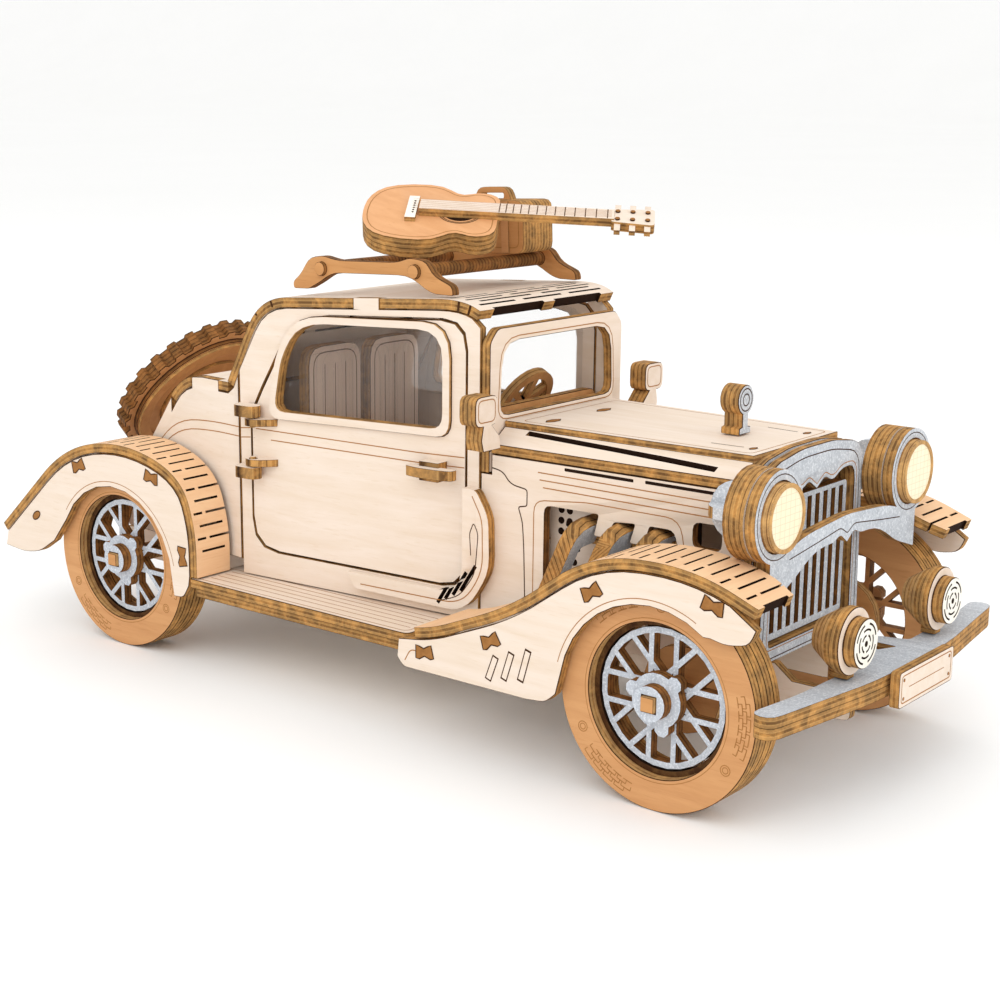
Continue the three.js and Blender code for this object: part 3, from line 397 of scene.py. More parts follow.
class Piece:
    """One finished piece under construction: a bmesh, its sheet map and its finishes."""

    def __init__(self, name):
        self.name = name
        self.mesh = bmesh.new()
        self.looks = []
        self.sheet_map = None

    def look(self, key):
        if key not in self.looks:
            self.looks.append(key)
        return self.looks.index(key)

    def map_layer(self):
        layers = self.mesh.loops.layers.uv
        return layers.get("sheet") or layers.new("sheet")

    def from_node(self, node, axis, rule, bevel=True):
        """Starts from the node's own solid, merged, with each face given its finish by rule,
        which is told a face's middle in millimetres, its normal and how squarely it faces
        the sheet's axis."""
        mesh = self.mesh
        mesh.from_mesh(frame["nodes"][node].data)
        for layer in list(mesh.loops.layers.uv):
            mesh.loops.layers.uv.remove(layer)
        bmesh.ops.remove_doubles(mesh, verts=mesh.verts, dist=0.004 * MM)
        bmesh.ops.dissolve_limit(
            mesh, angle_limit=math.radians(1.5), verts=mesh.verts, edges=mesh.edges)
        mesh.normal_update()
        axis = Vector(axis).normalized()
        for face in mesh.faces:
            middle = face.calc_center_median() / MM
            middle.x -= SHIFT
            face.material_index = self.look(rule(middle, face.normal, face.normal.dot(axis)))
        if bevel:
            self.char_rims()
        self.map_sheet(axis)
        return self

    def char_rims(self):
        """Narrow charred bevels where a printed face meets a cut edge."""
        edgy = {i for i, key in enumerate(self.looks) if key.startswith("edge")}
        rims = [
            edge for edge in self.mesh.edges
            if len(edge.link_faces) == 2
            and (edge.link_faces[0].material_index in edgy)
            != (edge.link_faces[1].material_index in edgy)
        ]
        bmesh.ops.bevel(
            self.mesh, geom=rims, offset=bpy.context.scene.wood_looks.outline,
            offset_type="OFFSET", segments=1, profile=0.5, affect="EDGES",
            clamp_overlap=True, material=self.look("char"))

    def map_sheet(self, axis, faces=None):
        """Maps each face across the sheet's thickness, in millimetres from its lowest face."""
        layer = self.map_layer()
        faces = list(faces or self.mesh.faces)
        low = min(vert.co.dot(axis) for face in faces for vert in face.verts)
        for face in faces:
            for loop in face.loops:
                loop[layer].uv = (0.0, (loop.vert.co.dot(axis) - low) / MM)

    def stroke(self, path, plane, width=None, look="engrave", lift=0.02, closed=False):
        """A thin line laid along a path on a plane."""
        half = (width * MM if width else bpy.context.scene.wood_looks.line) / 2
        places = [plane.at(p[0], p[1], lift) for p in path]
        out = plane.out.normalized()
        count = len(places)
        rows = []
        for i, here in enumerate(places):
            before = places[i - 1] if closed or i else here
            after = places[(i + 1) % count] if closed or i < count - 1 else here
            run = (after - before).normalized()
            aside = out.cross(run) * half
            rows.append((self.mesh.verts.new(here + aside), self.mesh.verts.new(here - aside)))
        index = self.look(look)
        for i in range(count if closed else count - 1):
            a, b = rows[i], rows[(i + 1) % count]
            face = self.mesh.faces.new((a[0], a[1], b[1], b[0]))
            face.material_index = index

    def slab(self, path, plane, look, low=0.0, high=0.1, edge="char"):
        """A closed outline raised from a plane, with its rim in another finish."""
        tops = [self.mesh.verts.new(plane.at(p[0], p[1], high)) for p in path]
        feet = [self.mesh.verts.new(plane.at(p[0], p[1], low)) for p in path]
        cap = self.mesh.faces.new(tops)
        cap.normal_update()
        if cap.normal.dot(plane.out) < 0:
            cap.normal_flip()
        cap.material_index = self.look(look)
        self.wall(tops, feet, plane, edge, high - low)
        return cap

    def wall(self, tops, feet, plane, look, depth):
        layer = self.map_layer()
        middle = sum((v.co for v in tops), Vector()) / len(tops)
        count = len(tops)
        for i in range(count):
            j = (i + 1) % count
            face = self.mesh.faces.new((tops[i], tops[j], feet[j], feet[i]))
            face.normal_update()
            if face.normal.dot(face.calc_center_median() - middle) < 0:
                face.normal_flip()
            face.material_index = self.look(look)
            for loop in face.loops:
                loop[layer].uv = (0.0, depth if loop.vert in tops else 0.0)

    def hoop(self, inner, outer, plane, look, low, high, edge="edge"):
        """A raised ring between two outlines with the same number of points."""
        layer = self.map_layer()
        rings = [[self.mesh.verts.new(plane.at(p[0], p[1], h)) for p in path]
                 for path, h in ((inner, low), (inner, high), (outer, high), (outer, low))]
        count = len(inner)
        looks = [edge, look, edge]
        for band in range(3):
            for i in range(count):
                j = (i + 1) % count
                a, b = rings[band], rings[band + 1]
                face = self.mesh.faces.new((a[i], a[j], b[j], b[i]))
                face.material_index = self.look(looks[band])
                for loop in face.loops:
                    raised = loop.vert in rings[1] or loop.vert in rings[2]
                    loop[layer].uv = (0.0, high - low if raised else 0.0)

    def tenon(self, path, plane, look="end_grain"):
        """The end of a tab that shows through a sheet: a filled mark with a charred outline."""
        self.slab(path, plane, look, 0, 0.05)
        self.stroke(path, plane, 0.26, "char", 0.06, closed=True)

    def finish(self, slot, nodes, body=None, smooth=32, settle=False):
        if not self.mesh.faces:
            raise RuntimeError(f"{self.name} has no faces")
        if settle:
            bmesh.ops.recalc_face_normals(self.mesh, faces=self.mesh.faces)
        for face in self.mesh.faces:
            face.smooth = True
        self.map_layer()
        data = bpy.data.meshes.new(self.name)
        self.mesh.to_mesh(data)
        self.mesh.free()
        data.set_sharp_from_angle(angle=math.radians(smooth))
        for key in self.looks:
            data.materials.append(LOOKS[key])
        piece = bpy.data.objects.new(self.name, data)
        bpy.context.scene.collection.objects.link(piece)
        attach(piece, body or frame["nodes"][nodes[0]]["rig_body"])
        if nodes:
            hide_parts(*nodes)
        return piece


def bow_tie(u, v, turn=0.0, size=1.0):
    """A tenon's end: a bar pinched at its waist."""
    shape = [(-2.6, -1.5), (-1.6, -1.7), (0, -1.0), (1.6, -1.7), (2.6, -1.5),
             (2.2, 1.5), (1.2, 1.2), (0, 0.7), (-1.2, 1.2), (-2.2, 1.5)]
    spin = Matrix.Rotation(math.radians(turn), 2)
    return [Vector((u, v)) + spin @ (Vector(p) * size) for p in shape]


def plain(face, edge, limit=0.9, back=None):
    """The usual rule: printed across the sheet's axis, burnt along its thickness."""
    def rule(middle, normal, squarely):
        if squarely > limit:
            return face
        if squarely < -limit:
            return back or face
        return edge
    return rule


def kerfed(piece, rows, columns, face, back, edge, cut):
    """A bent sheet on a grid: rows are (x, z) with the sheet's outer face, columns(x) gives
    the places across it, and cut(row, column) tells which cells the laser has cut away."""
    mesh, layer = piece.mesh, piece.map_layer()
    inner = beside([Vector(r) for r in rows], -SHEET)
    verts = {}

    def vert(i, j, under):
        if (i, j, under) not in verts:
            x, z = inner[i] if under else rows[i]
            verts[i, j, under] = mesh.verts.new(point(x, columns(rows[i][0])[j], z))
        return verts[i, j, under]

    count = len(columns(rows[0][0])) - 1
    kept = {(i, j) for i in range(len(rows) - 1) for j in range(count) if not cut(i, j)}
    looks = [piece.look(key) for key in (face, back, edge)]

    def add(corners, kind, depths=(0, 0, 0, 0)):
        made = mesh.faces.new(corners)
        made.material_index = looks[kind]
        for loop, depth in zip(made.loops, depths):
            loop[layer].uv = (0.0, depth)

    # Walls that face a slot inside the grid get the near-black look, laser char plus painted shade
    # in the slot; the strip's outer rim keeps the burnt edge.
    groove = piece.look("groove")
    for i, j in kept:
        add([vert(a, b, False) for a, b in ((i, j), (i, j + 1), (i + 1, j + 1), (i + 1, j))], 0)
        add([vert(a, b, True) for a, b in ((i, j), (i + 1, j), (i + 1, j + 1), (i, j + 1))], 1)
        for a, b, beyond in (((i, j), (i, j + 1), (i - 1, j)),
                             ((i, j + 1), (i + 1, j + 1), (i, j + 1)),
                             ((i + 1, j + 1), (i + 1, j), (i + 1, j)),
                             ((i + 1, j), (i, j), (i, j - 1))):
            if beyond in kept:
                continue
            add([vert(*b, False), vert(*a, False), vert(*a, True), vert(*b, True)],
                2, (0, 0, SHEET, SHEET))
            if 0 <= beyond[0] < len(rows) - 1 and 0 < beyond[1] < count - 1:
                mesh.faces.ensure_lookup_table()
                mesh.faces[-1].material_index = groove


def stations(path, marks, slot, by_length=False):
    """Splits an open path so that each mark, a place along x or a length along the path,
    gets its own narrow row. Returns the rows and which mark each slot's row stands for."""
    lengths = [0.0]
    for a, b in zip(path, path[1:]):
        lengths.append(lengths[-1] + (b - a).length)

    def along(x):
        for i, (a, b) in enumerate(zip(path, path[1:])):
            if (a.x - x) * (b.x - x) <= 0 and a.x != b.x:
                return lengths[i] + (b - a).length * (x - a.x) / (b.x - a.x)
        raise ValueError(f"no place {x} on this path")

    def place(s):
        for i, (a, b) in enumerate(zip(path, path[1:])):
            if s <= lengths[i + 1] or i == len(path) - 2:
                return a.lerp(b, (s - lengths[i]) / (lengths[i + 1] - lengths[i]))

    middles = marks if by_length else [along(m) for m in marks]
    stops = {round(s, 4) for s in lengths}
    stops = {s for s in stops if all(abs(s - m) > slot for m in middles)}
    for m in middles:
        stops |= {round(m - slot / 2, 4), round(m + slot / 2, 4)}
    ordered = sorted(s for s in stops if 0 <= s <= lengths[-1])
    rows = [place(s) for s in ordered]
    slots = {}
    for number, m in enumerate(middles):
        slots[ordered.index(round(m - slot / 2, 4))] = number
    return rows, slots


def between(table, x):
    """A value read from (x, value) pairs by straight lines."""
    if x <= table[0][0]:
        return table[0][1]
    for (x0, v0), (x1, v1) in zip(table, table[1:]):
        if x <= x1:
            return v0 + (v1 - v0) * (x - x0) / (x1 - x0)
    return table[-1][1]


# -------------------------------------------------------------- the pieces

def build_chassis():
    for side in SIDES:
        node = f"chassis_rail_{side}"
        Piece(f"rail_wood_{side}").from_node(node, SIDEWAYS, plain("cream", "edge")).finish(
            "cream", [node])
        node = f"running_board_{side}"
        board = Piece(f"board_wood_{side}").from_node(node, UPRIGHT, plain("cream", "edge"))
        sign = outward(side)
        top = Plane((0, 0, 20.2), (1, 0, 0), (0, sign, 0), (0, 0, 1))
        for y in (27.5, 29.5, 31.5, 33.5):
            board.stroke([(-44, y), (12, y)], top)
        board.stroke(rounded([(-45.6, 25.6, 1), (13, 25.6, 1), (13, 35.8, 1.5), (-45.6, 35.8, 1)]),
                     top, closed=True)
        board.finish("cream", [node])
    Piece("floor_wood").from_node(
        "chassis_floor", UPRIGHT, plain("cream", "edge")).finish("cream", ["chassis_floor"])


def wheel_marks(piece, plane):
    """Rows of short dashes in three groups, small rings after each, and a line by the bore."""
    for group in range(3):
        start = 100 + 120 * group
        for row in range(4):
            radius = 18.9 - 0.75 * row
            for dash in range(4):
                a = start + 8.2 * dash + (4.1 if row % 2 else 0)
                piece.stroke(circle(0, 0, radius, 5, a, 6.6), plane, 0.2)
                if row < 3:
                    ends = circle(0, 0, radius, 1, a, 6.6)
                    for end in ends:
                        piece.stroke([end, end * ((radius - 0.75) / radius)], plane, 0.16)
        at = circle(0, 0, 17.0, 1, start - 12, 1)[0]
        for radius in (0.95, 0.55):
            piece.stroke(circle(at.x, at.y, radius, 14), plane, 0.18, closed=True)
    piece.stroke(circle(0, 0, 14.7, 60), plane, 0.14, closed=True)


def wheel_plane(x, face, side):
    sign = outward(side)
    return Plane((x, sign * face, WHEEL_R), (-sign, 0, 0), (0, 0, 1), (0, sign, 0))


def build_tyre(end, side):
    low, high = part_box(f"{end}_tyre_{side}")
    face = max(abs(low.y), abs(high.y)) / MM
    plane = wheel_plane((low.x + high.x) / 2 / MM - SHIFT, face, side)
    piece = Piece(f"{end}_tyre_wood_{side}")
    notch, rim = PLY_NOTCH, 0.14
    profile = [(13.0, 2.0, "edge_light"), (14.0, 2.0, "edge_light"), (14.0, rim, "char"),
               (14.0 + rim, 0.0, "brown"), (WHEEL_R - 0.02 - rim, 0.0, "char"),
               (WHEEL_R - 0.02, rim, "edge")]
    # The small notches between plies, on the tread and in the bore, get the near-black look: the
    # dark joint between plies, plus painted shade in the crease.
    for ply in range(1, 4):
        profile += [(WHEEL_R - 0.02, ply * SHEET - notch, "groove"),
                    (WHEEL_R - 0.02 - notch, ply * SHEET, "groove"),
                    (WHEEL_R - 0.02, ply * SHEET + notch, "edge")]
    profile += [(WHEEL_R - 0.02, 8.0 - rim, "char"), (WHEEL_R - 0.02 - rim, 8.0, "brown"),
                (13.0 + rim, 8.0, "char"), (13.0, 8.0 - rim, "edge")]
    for ply in (3, 2):
        profile += [(13.0, ply * SHEET + notch, "groove"), (13.0 + notch, ply * SHEET, "groove"),
                    (13.0, ply * SHEET - notch, "edge")]
    mesh, layer = piece.mesh, piece.map_layer()
    profile = profile[:-1]
    verts = [mesh.verts.new(plane.at(r, 0, -depth)) for r, depth, _ in profile]
    edges = [mesh.edges.new((verts[i], verts[(i + 1) % len(verts)])) for i in range(len(verts))]
    hub = plane.at(0, 0)
    bmesh.ops.spin(mesh, geom=verts + edges, cent=hub, axis=plane.out, steps=96,
                   angle=2 * math.pi, use_merge=True)
    bmesh.ops.remove_doubles(mesh, verts=mesh.verts, dist=0.002 * MM)
    bmesh.ops.recalc_face_normals(mesh, faces=mesh.faces)
    spots = [(Vector((r, d)), key) for r, d, key in profile]
    for face_ in mesh.faces:
        offset = face_.calc_center_median() - hub
        depth = -offset.dot(plane.out) / MM
        radius = max((v.co - hub - plane.out * (v.co - hub).dot(plane.out)).length
                     for v in face_.verts) / MM
        low = min((v.co - hub - plane.out * (v.co - hub).dot(plane.out)).length
                  for v in face_.verts) / MM
        middle = Vector(((radius + low) / 2, depth))
        best = min(
            range(len(spots)),
            key=lambda i: ((spots[i][0] + spots[(i + 1) % len(spots)][0]) / 2 - middle).length)
        face_.material_index = piece.look(spots[best][1])
        for loop in face_.loops:
            loop[layer].uv = (0.0, -(loop.vert.co - hub).dot(plane.out) / MM)
    wheel_marks(piece, plane)
    piece.finish("brown", [f"{end}_tyre_{side}"])


def build_wheels():
    for end in ("front", "rear"):
        for side in SIDES:
            build_tyre(end, side)
            node = f"{end}_wheel_centre_{side}"
            sign = outward(side)
            centre = Piece(f"{end}_centre_wood_{side}").from_node(
                node, (0, sign, 0), plain("silver_side", "edge_dark", back="brown"))
            centre.finish("silver", [node])
        node = f"{end}_axle"
        Piece(f"{end}_axle_wood").from_node(
            node, SIDEWAYS, plain("tan", "edge_light")).finish("tan", [node])


def side_rule(half, taper):
    """Rule for a side plate whose small shelves stand out from it and lie flat."""
    def rule(middle, normal, squarely):
        out = abs(middle.y) - (half - taper * middle.x)
        if out > 0.15 and abs(normal.z) > 0.9:
            return "cream"
        if out > 0.15 and abs(squarely) > 0.9 and (middle.x < -30 or middle.z > 47.15):
            return "edge"
        return "cream" if abs(squarely) > 0.9 else "edge"
    return rule


WINDOW = [(-31.6, 56.6, 3), (11.4, 57.6, 3), (11.4, 77, 6), (-24.5, 75.6, 7), (-29.4, 68, 3)]


def scaled(path, share_u, share_v, centre):
    centre = Vector(centre)
    return [centre + Vector(((p.x - centre.x) * share_u, (p.y - centre.y) * share_v))
            for p in path]


def build_doors():
    for side in SIDES:
        plane = side_plane(*CABIN_SIDE, side)
        node = f"door_{side}"
        door = Piece(f"door_wood_{side}").from_node(
            node, SIDEWAYS, side_rule(*CABIN_SIDE))
        hole = rounded(WINDOW)
        middle = (-9.5, 67)
        door.hoop(scaled(hole, 0.998, 0.996, middle), scaled(hole, 1.075, 1.15, middle), plane,
                  "cream", 0.0, 0.7, "edge_light")
        door.stroke(scaled(hole, 1.08, 1.16, middle), plane, 0.2, "char", closed=True)
        for z in (52.3, 50.3):
            door.stroke([(-37.6, z), (5, z), (16.2, z + 0.3)], plane)
        door.finish("cream", [node])
        pane = frame["nodes"][f"door_window_{side}"]
        pane.data.materials.clear()
        pane.data.materials.append(LOOKS["clear"])


def build_cabin():
    for side in SIDES:
        plane = side_plane(*CABIN_SIDE, side)
        node = f"cabin_side_{side}"
        usual = side_rule(*CABIN_SIDE)

        def rule(middle, normal, squarely):
            # Four slanted slots near the front: their walls get the near-black look, laser char
            # plus painted shade inside the slots.
            for i in range(4):
                off = Matrix.Rotation(math.radians(32), 2) @ Vector(
                    (middle.x - 12.6 - 2 * i, middle.z - 25.2 - 1.35 * i))
                if abs(off.x) < 0.6 and abs(off.y) < 3.6 and abs(middle.y) > 22.6:
                    return "groove" if abs(squarely) < 0.9 else usual(middle, normal, squarely)
            return usual(middle, normal, squarely)

        wall = Piece(f"cabin_wood_{side}").from_node(node, SIDEWAYS, rule)
        wall.stroke(rounded([(11.6, 23.6), (16.6, 25.4, 2), (20.2, 30.4, 2), (20.9, 38.6, 1),
                             (19.8, 40.6, 0.6), (18.9, 38.4, 0.6), (19.2, 34, 1)], False),
                    plane, 0.2, "char", 2.02)
        wall.stroke(rounded([(-8, 23.8, 1), (15, 23.8, 2), (18.6, 25.6, 3), (22, 31.4, 3),
                             (21.8, 41.5, 2), (19.4, 45.8, 1)], False), plane, lift=2.02)
        for z in (52.3, 50.3):
            wall.stroke([(-41.2, z - 0.3), (-38.6, z)], plane)
        crest = rounded([(-45.3, 61.4), (-35.2, 79.9, 7), (15.4, 83.2, 6), (21.7, 80.2)], False, 12)
        under = beside(crest, -1.9)
        for i in (4, 9, 20, 24):
            wall.stroke([crest[i] * 0.97 + under[i] * 0.03, under[i]], plane, 0.5, "char")
        wall.finish("cream", [node])
        quarter = side_plane(*QUARTER_SIDE, side)
        node = f"tail_side_{side}"
        tail = Piece(f"tail_wood_{side}").from_node(
            node, SIDEWAYS, plain("cream", "edge"))
        for drop in (0, 2.0):
            tail.stroke(rounded([(-42, 52.1 - drop), (-50, 52.1 - drop, 4), (-62, 51.2 - drop, 9),
                                 (-70, 46.4 - drop, 6), (-76, 38 - drop)], False), quarter)
        tail.finish("cream", [node])
    build_bent_sheets()
    screen = Piece("windshield_wood").from_node(
        "windshield_frame", AHEAD, plain("cream_across", "edge"))
    front = facing(21.9)
    screen.stroke(rounded([(-19.4, 60.2, 3), (19.4, 60.2, 3), (18.5, 76, 5.5), (-18.5, 76, 5.5)]),
                  front, closed=True)
    screen.finish("cream", ["windshield_frame"])
    dash = Piece("dashboard_wood").from_node(
        "dashboard", AHEAD, plain("tan", "edge"))
    rear = Plane((15.5, 0, 0), SIDEWAYS, UPRIGHT, REARWARD)
    for y, r in ((-9, 2.2), (-3, 1.2), (0.5, 1.2), (4, 1.2)):
        dash.slab(circle(y, 56.5, r, 18), rear, "cream", 0, 0.5, "edge")
    dash.finish("brown", ["dashboard"])
    seats = Piece("seats_wood").from_node("seats", AHEAD, plain("seat", "edge"))
    back = facing(-30)
    for y in (-9.5, 9.5):
        seats.stroke(rounded([(y - 6.6, 43), (y - 6.6, 67.6, 3.4), (y + 6.6, 67.6, 3.4),
                              (y + 6.6, 43)], False), back, 0.25, "char")
        for step in (-3.2, 0, 3.2):
            seats.stroke([(y + step, 44), (y + step, 65)], back, 0.2, "char")
    seats.finish("brown", ["seats"])
    tilt = math.radians(60)
    axis = (-math.sin(tilt), 0, math.cos(tilt))
    Piece("steering_wood").from_node(
        "steering_wheel", axis, plain("tan", "edge_light")).finish("tan", ["steering_wheel"])


def slot_pattern(fractions, kind):
    """Which cells between the column fractions are cut in a row of a kind."""
    cuts = {0: ((0.0, 0.30), (0.36, 0.64), (0.70, 1.0)), 1: ((0.10, 0.46), (0.54, 0.90))}[kind]
    middles = [(a + b) / 2 for a, b in zip(fractions, fractions[1:])]
    return {j for j, m in enumerate(middles) if any(a < m < b for a, b in cuts)}


def build_bent_sheets():
    def half(x):
        return 23.54 - 0.077 * x if x > -41.4 else 26.728 + 0.11 * (x + 41.4)

    fractions = [0.0, 0.03, 0.10, 0.30, 0.36, 0.46, 0.54, 0.64, 0.70, 0.90, 0.97, 1.0]
    patterns = [slot_pattern(fractions, kind) for kind in (0, 1)]

    def columns(x):
        span = half(x) - 0.02
        inset = 2.3 / (2 * span)
        shares = [0.0, inset] + fractions[2:-2] + [1 - inset, 1.0]
        return [span * (2 * share - 1) for share in shares]

    def sheet(name, node, path, marks, notches_at, width):
        rows, slots = stations(path, marks, width)
        last = len(fractions) - 2

        def cut(i, j):
            x = (rows[i].x + rows[i + 1].x) / 2
            if j in (0, last) and any(a < x < b for a, b in notches_at):
                return True
            return i in slots and j in patterns[slots[i] % 2] and 0 < j < last

        piece = Piece(name)
        kerfed(piece, rows, columns, "cream_across", "cream_across", "edge", cut)
        piece.finish("cream", [node], settle=True)

    roof = rounded([(-45.3, 61.4), (-35.2, 79.9, 7), (15.4, 83.2, 6), (21.7, 80.2)], False, 12)
    roof = dense(roof, [-11.1, -4.3])
    sheet("roof_wood", "roof", roof,
          [-39.6, -38.2, -36.6, -34.8, -32.8, -30.6, 10.8, 12.6, 14.4, 16.0, 17.6, 19.2],
          [(-11.1, -4.3)], 0.6)
    tail = rounded([(-45.2, 61.2), (-61.5, 61.2, 7), (-79.5, 38.5, 9), (-86, 24.4)], False, 12)
    tail = dense(tail, [-58.6, -48.5, -77.3, -65.7])
    tail.reverse()
    tail_rows = [-82.2, -80.6, -79.0, -77.8, -76.4, -75.0, -65.2, -63.6, -61.8, -60.0, -58.9]
    sheet("tail_deck_wood", "tail_deck", tail, tail_rows,
          [(-58.6, -48.5), (-77.3, -65.7)], 0.55)


def dense(path, extra):
    """Adds a point to an open path at each of some places along x."""
    made = list(path)
    for x in extra:
        for i, (a, b) in enumerate(zip(made, made[1:])):
            if (a.x - x) * (b.x - x) < 0:
                made.insert(i + 1, a.lerp(b, (x - a.x) / (b.x - a.x)))
                break
    return made


def build_hood():
    def rule(middle, normal, squarely):
        if abs(normal.x) > 0.9:
            return "edge_light"
        if normal.z > 0.9:
            return "cream"
        if abs(normal.y) > 0.9:
            # Side-facing faces 17 to 19.6 mm out and below 58.7 mm get the near-black look: laser
            # char plus painted shade.
            return "groove" if 17 < abs(middle.y) < 19.6 and middle.z < 58.7 else "edge"
        return "cream" if normal.z > 0 else "edge_light"
    hood = Piece("hood_wood").from_node("hood", UPRIGHT, rule)
    top = Plane((0, 0, 60), (1, 0, 0), (0, 1, 0), (0, 0, 1))
    hood.stroke(rounded([(25, -15.6, 1.5), (74.6, -13.9, 1.5), (74.6, 13.9, 1.5), (25, 15.6, 1.5)]),
                top, closed=True)
    for x, y in ((29.4, -11.6), (29.8, 4.7), (72.6, -9.8), (72.6, 9.8)):
        grow = 1.0 if x < 50 else 0.55
        hood.tenon([Vector((x + u * grow, y + v * grow)) for u, v in (
            (0, -2.4), (0.9, -0.9), (0.9, 0.9), (0, 2.4), (-0.9, 0.9), (-0.9, -0.9))], top)
    for sign in (-1, 1):
        hood.stroke([(64, sign * 10.2), (70.6, sign * 9.8)], top, 0.3, "char")
        slope = Vector((0, sign * 4.08, -3.97)).normalized()
        shoulder = Plane((0, sign * 17.4, 58.8), (1, sign * -0.043, 0), slope,
                         (0, sign * 0.565, 0.825))
        hood.stroke([(25, 0.9), (75, 0.9)], shoulder, 0.16)
    hood.finish("cream", ["hood"])
    for side in SIDES:
        plane = side_plane(*HOOD_SIDE, side)
        node = f"hood_side_{side}"
        wall = Piece(f"hood_side_wood_{side}").from_node(
            node, SIDEWAYS, plain("cream", "edge_dark"))
        for z, start in ((51.9, 33), (50.5, 33.4), (49.1, 34.2)):
            wall.stroke([(start, z), (75, z - 0.5)], plane)
        # Two thin near-black strips under the hood's top edge: laser char plus painted shade, drawn
        # on the flat side.
        for a, b in ((39, 54), (56.5, 71.5)):
            wall.slab(rounded([(a, 52.9, 0.2), (b, 52.8, 0.2), (b, 53.4, 0.2), (a, 53.5, 0.2)]),
                      plane, "groove", 0, 0.03)
        wall.stroke(rounded([(22.4, 51.4), (25, 51, 2), (26.6, 48.8, 1.5), (30.6, 48.2, 0.6),
                             (30.6, 45, 0.5), (28.6, 44.6, 0.5), (29.6, 41.8, 1), (30, 37, 2),
                             (30.4, 26)], False), plane, 0.24, "char")
        wall.stroke(rounded([(32.2, 27, 1), (32.2, 46.4, 2.4), (44, 47.6, 1), (64, 47.4, 3),
                             (65.4, 40, 3), (65.4, 28)], False), plane, 0.2)
        wall.finish("cream", [node])
        node = f"engine_panel_{side}"
        # The engine panel's cut edges get the near-black look, laser char plus painted shade, and
        # its holes are flat near-black dots of the same.
        panel = Piece(f"engine_panel_wood_{side}").from_node(
            node, SIDEWAYS, plain("cream", "groove", 0.85), bevel=False)
        inner = Plane(plane.origin - plane.out * 4.7, plane.u, plane.v, plane.out)
        for start, top, rows in ((35.4, 44.2, 3), (36.6, 36.4, 3), (47.4, 40.2, 3), (48.4, 33.2, 2),
                                 (55.6, 39.4, 2), (57.0, 33.0, 2)):
            for i in range(2 * rows):
                panel.slab(circle(start + 1.9 * (i % 2), top - 2.1 * (i // 2), 0.7, 14), inner,
                           "groove", 0, 0.04)
        panel.finish("cream", [node])
        lean = math.radians(24)
        axis = Vector((math.cos(lean), 0, -math.sin(lean)))
        node = f"exhaust_{side}"
        pipes = Piece(f"exhaust_wood_{side}").from_node(
            node, axis, plain("silver", "edge", 0.9))
        layer = pipes.map_layer()
        for face in pipes.mesh.faces:
            for loop in face.loops:
                place = loop.vert.co / MM
                s = place.x - SHIFT + math.tan(lean) * (place.z - 44.2)
                near = min((44.6, 52.4, 60.2), key=lambda c: abs(s - c))
                loop[layer].uv = (0.0, (s - near) * math.cos(lean) + 2.0)
        pipes.finish("silver", [node])


def build_nose():
    shell = Piece("radiator_shell_wood").from_node(
        "radiator_shell", AHEAD, plain("silver", "edge", back="cream"))
    front = facing(80.4)
    border = [(17.4, 23.4, 1), (16.2, 56.9, 4), (5.6, 58.7, 3), (-5.6, 58.7, 3), (-16.2, 56.9, 4),
              (-17.4, 23.4, 1)]
    shell.stroke(rounded(border), front, 0.22, "char", closed=True)
    mouth = [(15.9, 25, 1), (15.3, 55.4, 3), (9.5, 55.3, 1.5), (6, 53.5, 1.5), (3, 54.9, 1),
             (0, 53.1), (-3, 54.9, 1), (-6, 53.5, 1.5), (-9.5, 55.3, 1.5), (-15.3, 55.4, 3),
             (-15.9, 25, 1)]
    shell.stroke(rounded(mouth), front, 0.18, "engrave", closed=True)
    shell.finish("silver", ["radiator_shell"])
    grille = Piece("grille_wood").from_node(
        "radiator_grille", AHEAD, plain("silver", "edge_dark"))
    grille.finish("silver", ["radiator_grille"])
    bracket = Piece("headlamp_bracket_wood").from_node(
        "headlamp_bracket", AHEAD, plain("silver", "edge", back="cream"))
    face = facing(87)
    bracket.stroke(rounded([(-21, 44.2), (-12, 45.2, 4), (-2.6, 46.4, 1), (0, 45, 0.5),
                            (2.6, 46.4, 1), (12, 45.2, 4), (21, 44.2)], False), face, 0.2, "char")
    bracket.finish("silver", ["headlamp_bracket"])
    for side in SIDES:
        build_headlamp(side)
        build_fog_lamp(side)
        node = f"mirror_{side}"
        sign = outward(side)
        mirror = Piece(f"mirror_wood_{side}").from_node(node, AHEAD, plain("cream", "edge"))
        pane = Plane((26.2, sign * 28, 57.6), (0, sign, 0), UPRIGHT, AHEAD)
        mirror.stroke(rounded([(-2.4, 4, 1.2), (2.6, 4, 1.2), (2.6, 8.2, 1.2), (-2.4, 8.2, 1.2)]),
                      pane, closed=True)
        mirror.finish("cream", [node])
    bumper = Piece("bumper_wood").from_node("bumper", UPRIGHT, plain("silver", "edge"))
    bumper.finish("silver", ["bumper"])
    plate = Piece("number_plate_wood").from_node(
        "number_plate", AHEAD, plain("cream", "edge"))
    for vert in plate.mesh.verts:
        if vert.co.x > (PLATE_FACE_X + 0.05 + SHIFT) * MM:
            vert.co.x -= 0.1 * MM
    face = facing(PLATE_FACE_X)
    plate.stroke(rounded([(-9.9, 19, 0.8), (9.9, 19, 0.8), (9.9, 24, 0.8), (-9.9, 24, 0.8)]),
                 face, closed=True)
    for y in (-9.1, 9.1):
        for z in (19.8, 23.2):
            plate.slab(circle(y, z, 0.32, 10), face, "engrave", 0, 0.08)
    plate.stroke([(-7, 21.5), (7, 21.5)], face, 0.16)
    plate.finish("cream", ["number_plate"])
    badge = Piece("ornament_wood").from_node(
        "hood_ornament", AHEAD, plain("silver", "edge", back="cream"))
    face = facing(65)
    for radius in (2.1, 1.1):
        badge.stroke(circle(0, 66.7, radius, 20), face, 0.24, "char", closed=True)
    badge.finish("silver", ["hood_ornament"])


